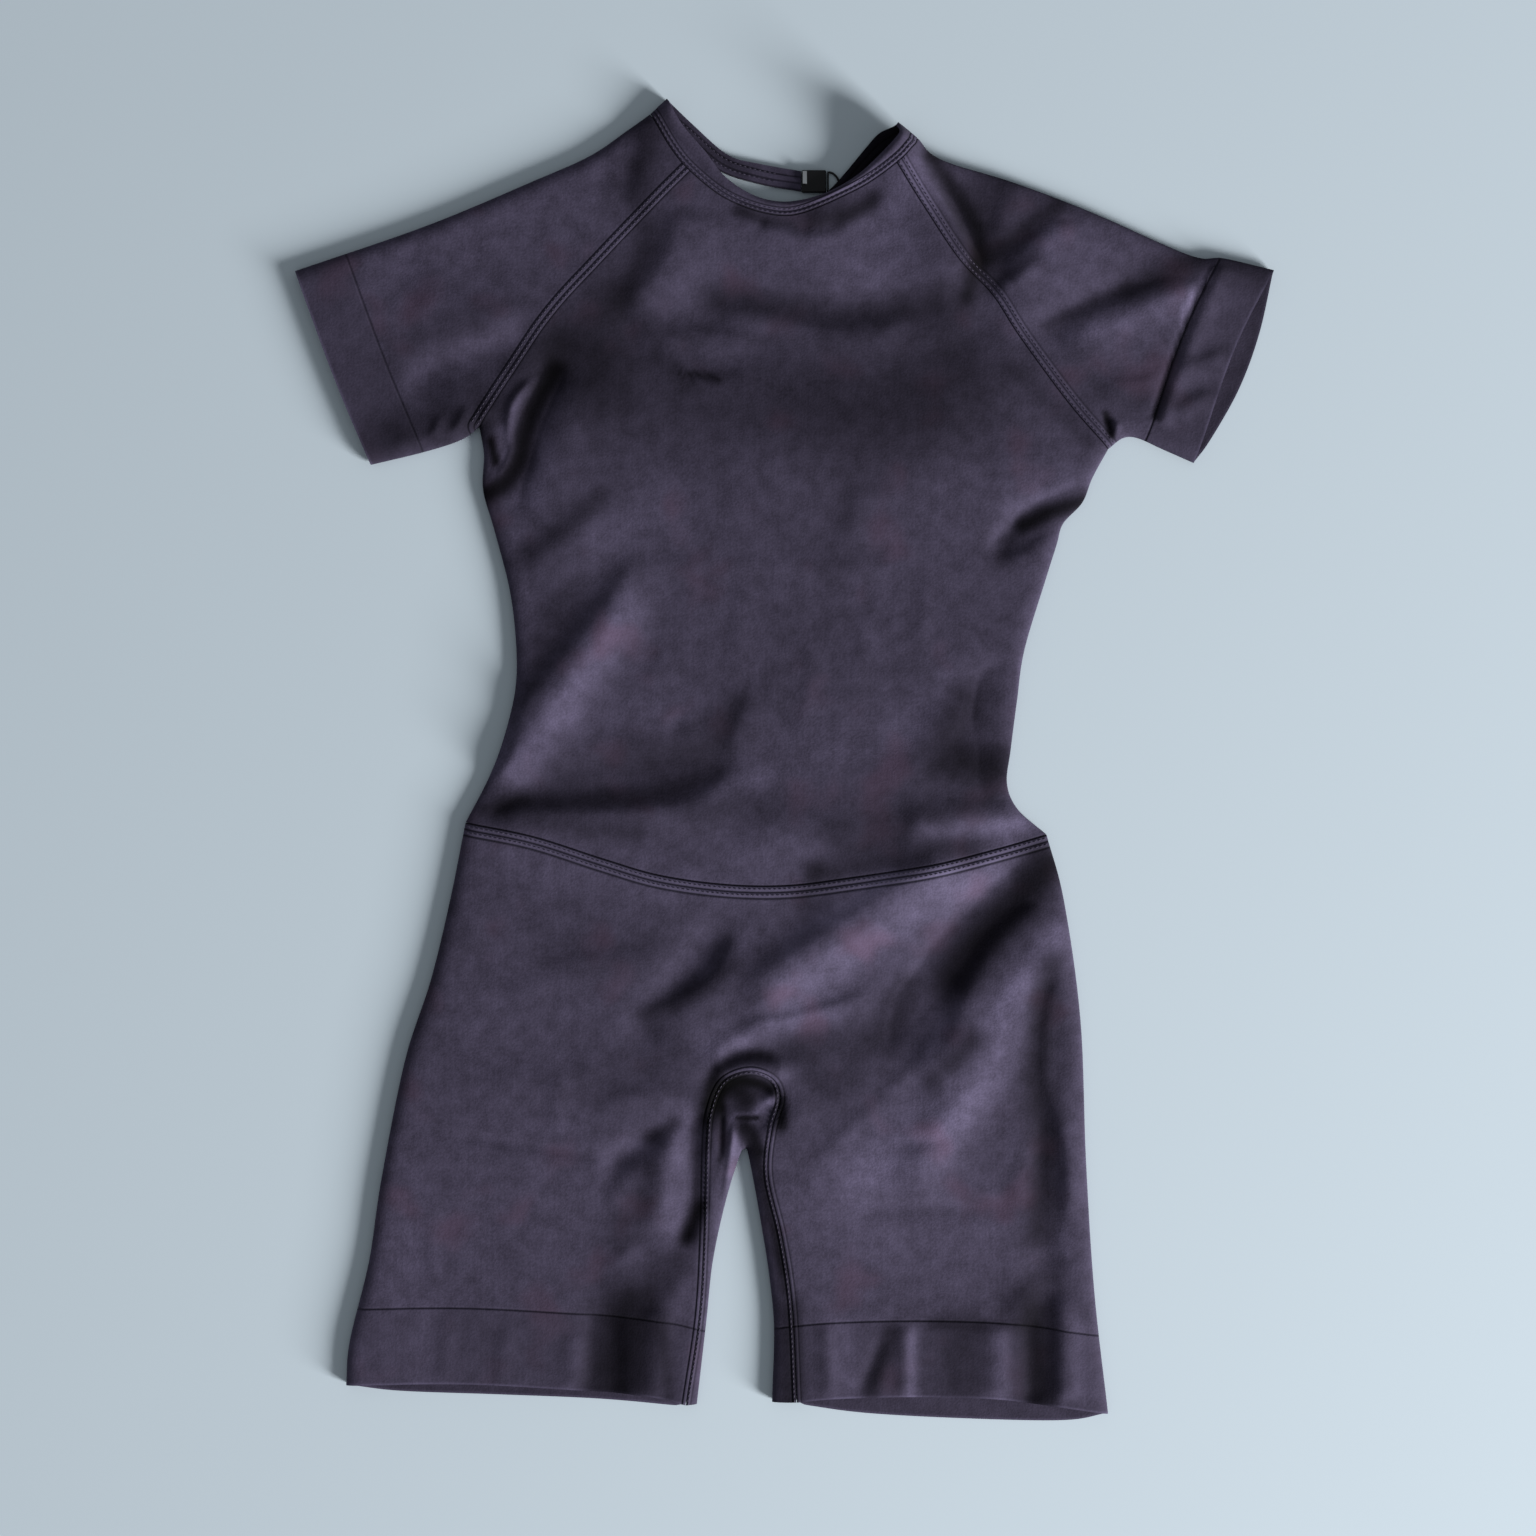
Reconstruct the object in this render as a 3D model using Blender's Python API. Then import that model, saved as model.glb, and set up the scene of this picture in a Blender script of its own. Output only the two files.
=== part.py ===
"""Workout romper with raglan sleeves, bike-short legs and an open back, lying flat with its front up.

The tables are in millimetres: x to the wearer's left, y towards the head, z up from the surface that
the garment lies on. Every piece is a sheet on one common outer form, given a wall inwards: an upper
layer, which is the front, a lower layer, which is the back and lies on the surface, and rounded folds
where the two meet.
"""
import bpy
import bmesh
import numpy as np

MM = 0.001

# driving sizes, in millimetres
CLOTH_WALL = 1.3            # knitted panel
BINDING_WALL = 1.9          # binding folded over on itself
SEAM_GAP = 0.3              # between two sewn pieces
FOLD_RISE = 3.0             # height of a folded edge's outermost line
FRONT_ROUND = 9.0           # width over which the front rises from a folded edge
FRONT_HEIGHT = 6.0          # front's top where no fold changes it
LOWEST_FRONT = 3.4          # the front hardly sinks lower than this over the back
EDGE_BODY = 2.3             # how far the front at least rises over a fold beside it
EDGE_REACH = 26.0           # distance from a fold at which a trough may be at its deepest
STRAP_LIFT = 1.6            # end of the left strap, where it passes over the ring
STRAP_LIFT_START, STRAP_LIFT_END = 30.0, 16.0   # distances from the strap's end
RING_WIRE = 1.2

# places where the collar's fold stands higher
PEAKS = [
    # x,    y,     reach, rise
    (-68.5, 355.0, 15.0, 1.4),
    (66.5, 341.0, 24.0, 7.0),
]

# how finely the sheets are divided
RAGLAN_STEPS = 7
NECK_STEPS = 16
PEAK_STEPS = 2
SIDE_ROWS = 17
HIP_ROWS = 8
LEG_ROWS = 9
SLEEVE_ROWS = 9
NAPE_STEPS = 5
STRAP_STEPS = 6
BACK_RAGLAN_STEPS = 3
STEPS = 8                           # points of a spline for each row of its table
EDGE_STEPS = (0.0, 0.5, 1.8, 4.2)   # distances from a folded edge at which a row follows its round
GUSSET_ACROSS = (0.0, 0.07, 0.22, 0.55, 1.0)
BINDING_COLUMNS = 3
BACK_STRIP_WIDTH, STRAP_SEAM_LENGTH = 98.0, 40.0    # where places are spaced from one fold
BODICE_NECK = (2, 7)                # rows of NECKLINE between which the bodice is sewn
RAGLAN_SHARE, NECK_SHARE = 0.345, 0.31              # of the bodice's width at its top
RIGHT_LEG_SHARE, LEFT_LEG_SHARE = 0.42, 0.46        # of the shorts' width
OPENING_SIDE_SHARE = 0.425          # of the open back's edge, faced by each side fold

# how a wall turns at a folded edge
ON_FOLD = 0.02                      # a point nearer than this to a folded edge lies on it
NEAR_FOLD, FOLD_REACH = 3.0, 9.0
SEAM_REACH = 1.2                    # a point nearer than this to a seam keeps to its side of it
FOLD_FADE = 1.7                     # walls' thicknesses over which a wall turns upright from a fold
TROUGH_SOFTNESS = 0.1               # how much of a trough's depth is left below the lowest front
SLOPE_STEP = 0.4
STEEPEST = 1.9
SAME_POINT = 0.02
FAR = 1e9
SHARP_ANGLE = 0.9

# clasp
HOOK_LOW, HOOK_HIGH = (9.3, 308.8, 0.0), (22.7, 321.0, 3.2)
BAR_LOW, BAR_HIGH = (9.8, 313.2, 3.5), (12.2, 320.2, 4.5)
RING_X, RING_Y = 23.7, 312.0        # middle of the ring's straight side
RING_BOW, RING_HALF = 6.4, 8.2
RING_CLEAR = 0.05
RING_STEPS = 12

# outlines, as x, y ------------------------------------------------------------------------------
RIGHT_SIDE = [      # right armpit down to the waist seam
    (-166.0, 181.0), (-163.5, 166.0), (-164.0, 147.0), (-158.0, 125.5), (-149.5, 92.5),
    (-146.0, 62.5), (-146.5, 38.0), (-153.0, 11.0), (-161.0, -10.0), (-173.5, -34.0)]
LEFT_SIDE = [       # left armpit down to the waist seam, with its small nip at the upper end
    (176.0, 169.0), (167.5, 153.5), (162.0, 140.0), (151.5, 128.5), (148.0, 117.0),
    (142.0, 98.0), (130.5, 60.0), (126.5, 32.5), (123.0, 5.5), (121.0, -13.0), (127.0, -27.0),
    (142.5, -40.5)]
RIGHT_HIP = [       # waist seam down to the right hem
    (-173.5, -34.0), (-182.0, -76.5), (-192.5, -120.0), (-206.5, -163.5), (-219.5, -229.0),
    (-226.0, -272.5), (-236.5, -316.0), (-238.5, -340.0)]
LEFT_HIP = [
    (142.5, -40.5), (152.0, -76.5), (161.0, -141.5), (164.0, -218.0), (168.5, -289.0),
    (176.0, -355.5)]
RIGHT_INNER_LEG = [(-47.7, -350.2), (-42.5, -305.0), (-39.0, -272.5), (-32.0, -240.0), (-24.5, -215.5)]
LEFT_INNER_LEG = [(-19.5, -215.5), (-12.5, -253.5), (-8.0, -283.0), (-5.7, -310.0), (-6.8, -349.0)]
CROTCH_TIP = (-22.0, -212.0)
RIGHT_INSEAM = [(-53.7, -350.5), (-46.5, -302.5), (-44.0, -261.5), (-42.5, -207.0)]
CROTCH_ARCH = [(-42.5, -207.0), (-40.0, -188.0), (-33.0, -174.0), (-19.0, -168.5), (-6.5, -173.0),
               (-2.5, -184.0)]
LEFT_INSEAM = [(-2.5, -184.0), (-7.0, -201.0), (-9.0, -226.0), (-1.5, -259.0), (4.0, -296.5),
               (6.5, -349.0)]
RIGHT_SHOULDER = [  # cuff to the right peak of the neck
    (-266.2, 266.0), (-195.0, 290.5), (-137.5, 314.5), (-106.0, 328.5), (-86.0, 342.0), (-73.0, 351.0)]
RIGHT_UNDERARM = [(-225.0, 160.5), (-196.0, 167.5), (-176.0, 174.0), (-166.0, 181.0)]
LEFT_SHOULDER = [
    (266.2, 266.5), (238.5, 273.0), (220.5, 274.5), (168.0, 297.5), (123.5, 314.5), (84.0, 326.5),
    (72.0, 337.0)]
LEFT_UNDERARM = [(222.5, 161.5), (205.5, 169.0), (192.0, 175.0), (184.0, 175.0), (176.0, 169.0)]

# seams and open edges, as x, y ------------------------------------------------------------------
FRONT_WAIST = [(-173.5, -34.0), (-136.5, -41.5), (-99.0, -53.5), (-68.0, -62.5), (-32.0, -67.5),
               (1.5, -68.0), (34.5, -64.0), (79.5, -57.0), (112.5, -49.0), (142.5, -40.5)]
BACK_WAIST = [(-173.5, -34.0), (-89.5, -39.5), (-2.5, -43.0), (74.0, -43.0), (142.5, -40.5)]
RIGHT_RAGLAN = [    # front seam, armpit up to the neck
    (-166.0, 181.0), (-149.5, 207.0), (-125.0, 242.5), (-100.0, 270.0), (-68.0, 303.5),
    (-51.5, 320.0)]
LEFT_RAGLAN = [     # neck down to the armpit
    (60.5, 322.5), (75.5, 299.0), (94.0, 272.0), (111.5, 255.0), (128.0, 229.5), (154.5, 193.5),
    (176.0, 169.0)]
RIGHT_BACK_RAGLAN = [(-166.0, 181.0), (-144.0, 212.0), (-114.0, 243.0), (-88.0, 262.0)]
LEFT_BACK_RAGLAN = [(95.0, 258.0), (119.0, 234.0), (149.0, 200.0), (176.0, 169.0)]
OPEN_BACK = [       # body's share of the edge, from the right back raglan round to the left one
    (-88.0, 262.0), (-96.0, 225.0), (-98.0, 180.0), (-94.0, 130.0), (-84.0, 84.0), (-68.0, 46.0),
    (-42.0, 19.0), (-6.0, 9.0), (31.0, 18.0), (59.0, 45.0), (79.0, 84.0), (92.0, 130.0),
    (100.0, 180.0), (101.0, 225.0), (95.0, 258.0)]
RIGHT_NAPE_EDGE = [(-42.0, 325.8), (-60.0, 303.0), (-76.0, 282.0), (-88.0, 262.0)]
LEFT_NAPE_EDGE = [(47.0, 319.5), (65.0, 298.0), (82.0, 277.0), (95.0, 258.0)]
RIGHT_FRONT_HEM = [(-238.5, -340.0), (-182.5, -339.0), (-134.0, -341.0), (-76.5, -345.5), (-53.7, -350.5)]
RIGHT_BACK_HEM = [(-238.5, -340.0), (-209.5, -343.5), (-155.0, -345.5), (-100.5, -347.8), (-53.7, -352.0)]
LEFT_FRONT_HEM = [(6.5, -349.0), (30.0, -347.0), (70.5, -346.0), (111.5, -347.0), (138.0, -350.0),
                  (176.0, -355.5)]
LEFT_BACK_HEM = [(6.5, -350.5), (43.5, -355.5), (98.0, -358.5), (152.0, -359.5), (176.0, -355.5)]
RIGHT_CUFF = [(-266.2, 266.0), (-244.5, 207.0), (-225.0, 160.5)]
LEFT_FRONT_CUFF = [(266.2, 266.5), (250.5, 236.5), (240.0, 211.5), (228.0, 176.0), (222.5, 161.5)]
LEFT_BACK_CUFF = [(266.2, 266.5), (258.5, 232.0), (247.5, 202.0), (232.0, 174.5), (222.5, 161.5)]

# the neck binding's two edges: along the front neckline, then each back strap from its peak
NECKLINE = [        # edge sewn to the panels, right peak to left peak
    (-73.0, 351.0), (-62.0, 332.5), (-51.5, 320.0), (-33.0, 305.5), (-8.0, 296.5), (6.0, 296.0),
    (38.5, 309.0), (60.5, 322.5), (70.0, 332.0), (72.0, 337.0)]
NECK_EDGE = [       # free edge
    (-64.0, 359.5), (-55.5, 345.0), (-43.5, 331.0), (-33.0, 317.5), (-20.5, 308.5), (-8.0, 304.0),
    (5.5, 303.5), (22.0, 307.5), (38.5, 316.5), (54.0, 329.5), (62.0, 338.5), (61.5, 345.5)]
RIGHT_STRAP_TOP = [(-64.0, 359.5), (-49.5, 345.5), (-31.0, 329.5), (-13.5, 324.5), (9.0, 320.5)]
RIGHT_STRAP_FOOT = [(-73.0, 351.0), (-56.5, 338.0), (-36.0, 321.0), (-13.5, 313.5), (9.0, 309.5)]
LEFT_STRAP_TOP = [(61.5, 345.5), (52.0, 341.5), (44.5, 333.5), (31.0, 317.0), (21.5, 307.0)]
LEFT_STRAP_FOOT = [(72.0, 337.0), (62.0, 333.0), (52.5, 325.5), (39.0, 309.5), (29.5, 299.5)]

# largest folds of the front: a line, its width to either side, and its height --------------------
FOLDS = [
    # x1,   y1,     x2,    y2,    left, right, height
    (64.0, 336.0, 98.0, 277.0, 5.0, 26.0, 7.5),         # ridge where the collar stands up
    (104.0, 310.0, 106.0, 274.0, 9.0, 16.0, -4.2),      # valley behind it on the sleeve
    (146.0, 300.0, 111.0, 262.0, 11.0, 11.0, -3.0),
    (218.0, 268.0, 148.0, 236.0, 10.0, 13.0, -3.0),
    (-190.0, 250.0, -140.0, 228.0, 14.0, 14.0, 2.0),
    (-75.0, 242.0, 95.0, 240.0, 18.0, 22.0, -2.6),      # chest trough
    (-150.0, 150.0, -128.0, 210.0, 10.0, 14.0, -3.2),
    (-90.0, 76.0, -150.0, -5.0, 14.0, 12.0, 3.0),       # ridge down to the right waist
    (-165.0, -18.0, -40.0, 0.0, 10.0, 14.0, -2.8),
    (112.0, 40.0, 116.0, -18.0, 14.0, 12.0, -2.6),
    (162.0, 139.0, 120.0, 118.0, 7.0, 8.0, -4.0),       # nip below the left armpit
    (75.0, -66.0, -12.0, -125.0, 14.0, 16.0, 2.6),
    (145.0, -62.0, 62.0, -142.0, 16.0, 16.0, -3.0),
    (138.0, -108.0, 74.0, -222.0, 14.0, 14.0, 2.4),
    (-40.0, -100.0, -72.0, -142.0, 12.0, 12.0, -2.6),
    (144.0, -125.0, 142.0, -340.0, 8.0, 10.0, -2.4),
    (-90.0, -218.0, -62.0, -200.0, 8.0, 8.0, -2.6),
    (-100.0, -305.0, -96.0, -346.0, 12.0, 12.0, -2.4),
    (30.0, 303.0, 22.0, 300.0, 13.0, 13.0, 2.6),        # lies over the ring and the strap's end
    (-30.0, -184.0, -15.0, -190.0, 8.0, 8.0, -5.5),     # hollow under the crotch arch
    (-34.0, -168.0, -4.0, -168.0, 7.0, 5.0, 2.6),       # arch's own ridge
]

COLOURS = {         # base colour, roughness, metallic
    "knit": ((0.038, 0.033, 0.052), 0.82, 0.0),
    "binding": ((0.040, 0.034, 0.054), 0.78, 0.0),
    "hook": ((0.004, 0.004, 0.005), 0.38, 0.0),
    "bar": ((0.55, 0.57, 0.60), 0.30, 1.0),
    "ring": ((0.006, 0.006, 0.008), 0.35, 0.8),
}


# curves -----------------------------------------------------------------------------------------
def spline(table):
    """Smooth line through the rows of a table, as an array of points."""
    points = np.array(table, float)
    padded = np.vstack([2 * points[0] - points[1], points, 2 * points[-1] - points[-2]])
    places = np.linspace(0, 1, STEPS, endpoint=False)[:, None]
    line = []
    for a, b, c, d in zip(padded, padded[1:], padded[2:], padded[3:]):
        bend = (2 * a - 5 * b + 4 * c - d) * places ** 2 + (3 * b - a - 3 * c + d) * places ** 3
        line.append(b + 0.5 * ((c - a) * places + bend))
    return np.vstack(line + [points[-1:]])


def along(line, places):
    """Points of a line at the given fractions of its length."""
    lengths = np.concatenate([[0], np.cumsum(np.linalg.norm(np.diff(line, axis=0), axis=1))])
    places = np.asarray(places) * lengths[-1]
    return np.column_stack([np.interp(places, lengths, line[:, k]) for k in range(line.shape[1])])


def length(line):
    return np.linalg.norm(np.diff(line, axis=0), axis=1).sum()


def inset(line, distance):
    """A line moved sideways, to its left as it runs."""
    tangent = np.gradient(line, axis=0)
    tangent /= np.linalg.norm(tangent, axis=1)[:, None]
    return line + distance * np.column_stack([-tangent[:, 1], tangent[:, 0]])


def spaced(count, width):
    """Fractions of an edge of about the given length, closer together at its folded start."""
    start = [d / width for d in EDGE_STEPS]
    return np.concatenate([start, np.linspace(start[-1], 1, count + 1)[1:]])


FOLDED_EDGES = [spline(table) for table in (
    RIGHT_SIDE, LEFT_SIDE, RIGHT_HIP, LEFT_HIP, RIGHT_INNER_LEG + [CROTCH_TIP] + LEFT_INNER_LEG,
    RIGHT_SHOULDER, LEFT_SHOULDER, RIGHT_UNDERARM, LEFT_UNDERARM)]
FOLDED_EDGES += [np.array([NECKLINE[0], NECK_EDGE[0]]), np.array([NECKLINE[-1], NECK_EDGE[-1]])]


# the common outer form --------------------------------------------------------------------------
def segment_distance(points, start, end):
    """Distance from points to a segment, and on which side of it they lie."""
    run = end - start
    share = np.clip(((points - start) @ run) / (run @ run), 0, 1)
    offset = points - start - share[:, None] * run
    side = run[0] * offset[:, 1] - run[1] * offset[:, 0]
    return np.linalg.norm(offset, axis=1), side


def edge_distance(points):
    """Distance to the nearest folded edge."""
    return nearest_edge(points)[0]


def nearest_edge(points):
    """Distance to the nearest folded edge, and the direction in plan square to it."""
    nearest = np.full(len(points), FAR)
    square = np.zeros((len(points), 2))
    for line in FOLDED_EDGES:
        tangent = np.gradient(line, axis=0)
        for k, (start, run) in enumerate(zip(line[:-1], np.diff(line, axis=0))):
            share = np.clip(((points - start) @ run) / (run @ run), 0, 1)[:, None]
            gaps = np.linalg.norm(points - start - share * run, axis=1)
            closer = gaps < nearest
            turned = (1 - share) * tangent[k] + share * tangent[k + 1]
            square[closer] = np.column_stack([-turned[:, 1], turned[:, 0]])[closer]
            nearest[closer] = gaps[closer]
    return nearest, square / np.linalg.norm(square, axis=1)[:, None]


def fold_rise(points):
    """Height of the fold line: more where the collar stands up."""
    rise = np.full(len(points), FOLD_RISE)
    for x, y, reach, extra in PEAKS:
        rise += extra * np.exp(-((points - (x, y)) ** 2).sum(1) / reach ** 2)
    return rise


def quarter_round(distance, width):
    return np.sqrt(1 - (1 - np.clip(distance / width, 0, 1)) ** 2)


def front_form(points):
    """Top of the front layer, without the round beside the folded edges."""
    rise = fold_rise(points)
    height = FRONT_HEIGHT + (rise - FOLD_RISE)
    for x1, y1, x2, y2, left, right, fold in FOLDS:
        distance, side = segment_distance(points, np.array([x1, y1]), np.array([x2, y2]))
        width = np.where(side > 0, left, right)
        height = height + fold * np.exp(-(distance / width) ** 2)
    inside = np.clip(edge_distance(points) / EDGE_REACH, 0, 1) ** 2
    lowest = (1 - inside) * (rise + EDGE_BODY) + inside * LOWEST_FRONT
    return lowest + np.where(height > lowest, 1.0, TROUGH_SOFTNESS) * (height - lowest)


def front_height(points):
    """Top of the front layer."""
    rise = fold_rise(points)
    return rise + (front_form(points) - rise) * quarter_round(edge_distance(points), FRONT_ROUND)


def front_steepness(points):
    """How much longer than its plan the front is, up its slope."""
    across, up = [(front_form(points + step) - front_form(points - step)) / (2 * SLOPE_STEP)
                  for step in ((SLOPE_STEP, 0), (0, SLOPE_STEP))]
    return np.minimum(np.sqrt(1 + across ** 2 + up ** 2), STEEPEST)


def back_height(points):
    """Underside of the back layer: on the surface, and up to the fold line at a folded edge."""
    rise = fold_rise(points)
    return rise * (1 - quarter_round(edge_distance(points), rise))


# sheets and walls -------------------------------------------------------------------------------
def raised(grid, height):
    """Give a plan grid its height."""
    flat = grid.reshape(-1, 2)
    return np.column_stack([flat, height(flat)]).reshape(grid.shape[0], grid.shape[1], 3)


def material(name):
    colour, roughness, metallic = COLOURS[name]
    mat = bpy.data.materials.new(name)
    mat.use_nodes = True
    shader = mat.node_tree.nodes["Principled BSDF"]
    shader.inputs["Base Color"].default_value = (*colour, 1)
    shader.inputs["Roughness"].default_value = roughness
    shader.inputs["Metallic"].default_value = metallic
    return mat


def nearby_seams(point):
    """Directions square to the seams that pass a point, in plan, the nearest first."""
    found = []
    for line in SEAMS:
        start, run = line[:-1], np.diff(line, axis=0)
        share = np.clip(((point - start) * run).sum(1) / (run ** 2).sum(1), 0, 1)
        gaps = np.linalg.norm(start + share[:, None] * run - point, axis=1)
        nearest = int(np.argmin(gaps))
        if gaps[nearest] < SEAM_REACH:
            square = np.array([-run[nearest][1], run[nearest][0]])
            found.append((gaps[nearest], square / np.linalg.norm(square)))
    found.sort(key=lambda pair: pair[0])
    return [square for _, square in found]


def along_seam(point, direction, on_fold):
    """A direction in plan without its part square to the seam that it starts on."""
    squares = nearby_seams(point)
    if not squares:
        return direction
    square = squares[0]
    if on_fold:
        total = sum(s if s @ square > 0 else -s for s in squares)
        square = total / np.linalg.norm(total)
    direction = direction - (direction @ square) * square
    return direction / np.linalg.norm(direction)


def inner_grid(grid, solid, below, wall):
    """The inner side of a raised grid: upright from it, but sideways from a folded edge."""
    rows, columns = grid.shape[:2]
    flat = grid.reshape(-1, 2)
    distance, square = nearest_edge(flat)
    fade = np.exp(-distance / (FOLD_FADE * wall))
    towards = np.zeros_like(grid)
    off_fold = (distance > ON_FOLD).reshape(rows, columns)
    for i in range(rows):
        for j in range(columns):
            for m, n in ((i - 1, j), (i + 1, j), (i, j - 1), (i, j + 1)):
                if 0 <= m < rows and 0 <= n < columns and off_fold[m, n]:
                    step = grid[m, n] - grid[i, j]
                    towards[i, j] += step / np.linalg.norm(step)
    towards = towards.reshape(-1, 2)
    ahead = edge_distance(flat + ON_FOLD / 2 * square)
    inwards = np.where(distance > ON_FOLD, ahead - distance, (towards * square).sum(axis=1))
    square *= np.sign(inwards)[:, None]
    for k in np.flatnonzero(distance < FOLD_REACH):
        square[k] = along_seam(flat[k], square[k], distance[k] < ON_FOLD)
    inner = solid.reshape(-1, 3).copy()
    inner[:, :2] += wall * fade[:, None] * square
    upright = wall * np.sqrt(1 - fade ** 2)
    rise = fold_rise(flat)
    beside = (distance > ON_FOLD) & (distance < NEAR_FOLD)
    if below:
        inner[:, 2] += upright
        inner[:, 2] = np.where(beside, np.minimum(inner[:, 2], rise - SEAM_GAP), inner[:, 2])
    else:
        inner[:, 2] -= upright * front_steepness(flat)
        inner[:, 2] = np.where(beside, np.maximum(inner[:, 2], rise + SEAM_GAP), inner[:, 2])
    return inner.reshape(solid.shape)


def walled(name, panels, wall, finish):
    """One closed piece of several panels, joined where they share points.

    Each panel is its plan grid, its outer side and whether it is a lower layer. It gets a wall
    inwards.
    """
    mesh = bmesh.new()
    shared = {}
    for grid, solid, below in panels:
        inner = inner_grid(grid, solid, below, wall)
        verts = []
        for outer_row, inner_row in zip(solid, inner):
            row = []
            for outer_point, inner_point in zip(outer_row, inner_row):
                key = tuple(np.round(outer_point / SAME_POINT).astype(int))
                if key not in shared:
                    shared[key] = (mesh.verts.new(outer_point * MM), mesh.verts.new(inner_point * MM))
                row.append(shared[key])
            verts.append(row)
        run, up = grid[0, 1] - grid[0, 0], grid[1, 0] - grid[0, 0]
        faces_up = (run[0] * up[1] - run[1] * up[0] > 0) != below
        for row, above in zip(verts, verts[1:]):
            for a, b, c, d in zip(row, row[1:], above[1:], above):
                corners = (a, b, c, d) if faces_up else (a, d, c, b)
                mesh.faces.new([outer for outer, _ in corners])
    inner_of = dict(shared.values())
    outer_faces = list(mesh.faces)
    rims = [edge for edge in mesh.edges if edge.is_boundary]
    for face in outer_faces:
        mesh.faces.new([inner_of[v] for v in reversed(face.verts)])
    for edge in rims:
        loop = edge.link_loops[0]
        a, b = loop.vert, loop.link_loop_next.vert
        mesh.faces.new((b, a, inner_of[a], inner_of[b]))
    bmesh.ops.triangulate(mesh, faces=mesh.faces)
    data = bpy.data.meshes.new(name)
    mesh.to_mesh(data)
    mesh.free()
    return placed(name, data, finish)


def placed(name, data, finish):
    """Put a finished mesh into the garment's collection with its material."""
    data.shade_smooth()
    data.set_sharp_from_angle(angle=SHARP_ANGLE)
    data.materials.clear()
    data.materials.append(material(finish))
    piece = bpy.data.objects.new(name, data)
    GARMENT.objects.link(piece)
    return piece


# the seams' lines, and panels cut back from them -------------------------------------------------
HALF_GAP = SEAM_GAP / 2
INSEAM_TABLE = RIGHT_INSEAM + CROTCH_ARCH[1:-1] + LEFT_INSEAM
SEAMS = [spline(table) for table in (
    FRONT_WAIST, BACK_WAIST, RIGHT_RAGLAN, LEFT_RAGLAN, RIGHT_BACK_RAGLAN, LEFT_BACK_RAGLAN,
    NECKLINE, RIGHT_STRAP_FOOT, LEFT_STRAP_FOOT, INSEAM_TABLE)]

# Neighbours divide a seam at the same places, so that their straight facets stay parallel there.
RAGLAN_PLACES = spaced(RAGLAN_STEPS, length(spline(RIGHT_RAGLAN)))  # from the armpit
BACK_RAGLAN_PLACES = spaced(BACK_RAGLAN_STEPS, BACK_STRIP_WIDTH)    # from the armpit
PEAK_PLACES = spaced(PEAK_STEPS, length(spline(NECKLINE[:3])))      # from the peak
NECK_PLACES = np.linspace(0, 1, NECK_STEPS + 1)
STRAP_SEAM_PLACES = spaced(PEAK_STEPS, STRAP_SEAM_LENGTH)           # from the peak
SIDE_PLACES = np.linspace(0, 1, SIDE_ROWS)
LEG_PLACES = np.linspace(0, 1, LEG_ROWS)
FRONT_ACROSS = np.concatenate([
    RAGLAN_SHARE * RAGLAN_PLACES, RAGLAN_SHARE + NECK_SHARE * NECK_PLACES[1:-1],
    1 - RAGLAN_SHARE * RAGLAN_PLACES[::-1]])


def trimmed(line, start=HALF_GAP, end=HALF_GAP):
    """A folded edge's line, cut back by half a seam gap at its ends."""
    whole = length(line)
    inner = along(line, [start / whole, 1 - end / whole])
    return np.vstack([inner[:1], line[1:-1], inner[1:]])


def ended(line, first=None, last=None):
    """A line with its ends set on the corners that it shares with its neighbours."""
    line = line.copy()
    if first is not None:
        line[0] = first
    if last is not None:
        line[-1] = last
    return line


def rows_between(table, first, last):
    """The stretch of a table's spline between two of its rows."""
    return spline(table)[first * STEPS:last * STEPS + 1]


def seam_edge(stretches, shift, first, last):
    """A panel's edge along several stretches, each with its places, moved off the seam.

    Gives its points and the fraction of the whole length at each.
    """
    whole = np.vstack([stretches[0][0]] + [line[1:] for line, _ in stretches[1:]])
    whole = ended(inset(whole, shift), first, last)
    points, fractions, start, travelled = [], [], 0, 0.0
    for k, (line, places) in enumerate(stretches):
        part = whole[start:start + len(line)]
        places = np.asarray(places)[(1 if k else 0):]
        points.append(along(part, places))
        fractions.append(travelled + places * length(part))
        start += len(line) - 1
        travelled += length(part)
    return np.vstack(points), np.concatenate(fractions) / travelled


def coons(low, top, first, last, across, up):
    """Points of a four-sided panel, from points already divided alike on opposite edges."""
    u, v = np.asarray(across)[None, :, None], np.asarray(up)[:, None, None]
    ruled = (1 - v) * low[None] + v * top[None] + (1 - u) * first[:, None] + u * last[:, None]
    corners = ((1 - u) * (1 - v) * low[0] + u * (1 - v) * low[-1]
               + (1 - u) * v * top[0] + u * v * top[-1])
    return ruled - corners


# bodice -----------------------------------------------------------------------------------------
RIGHT_FOLD = trimmed(spline(RIGHT_SIDE)[::-1])      # waist up to the armpit
LEFT_FOLD = trimmed(spline(LEFT_SIDE)[::-1])


def split_grid(grid, height, lift):
    """A raised grid whose folded edges stop half a gap above or below the fold line."""
    solid = raised(grid, height)
    on_fold = edge_distance(grid.reshape(-1, 2)).reshape(grid.shape[:2]) < ON_FOLD
    solid[on_fold, 2] += lift
    return solid


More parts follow.
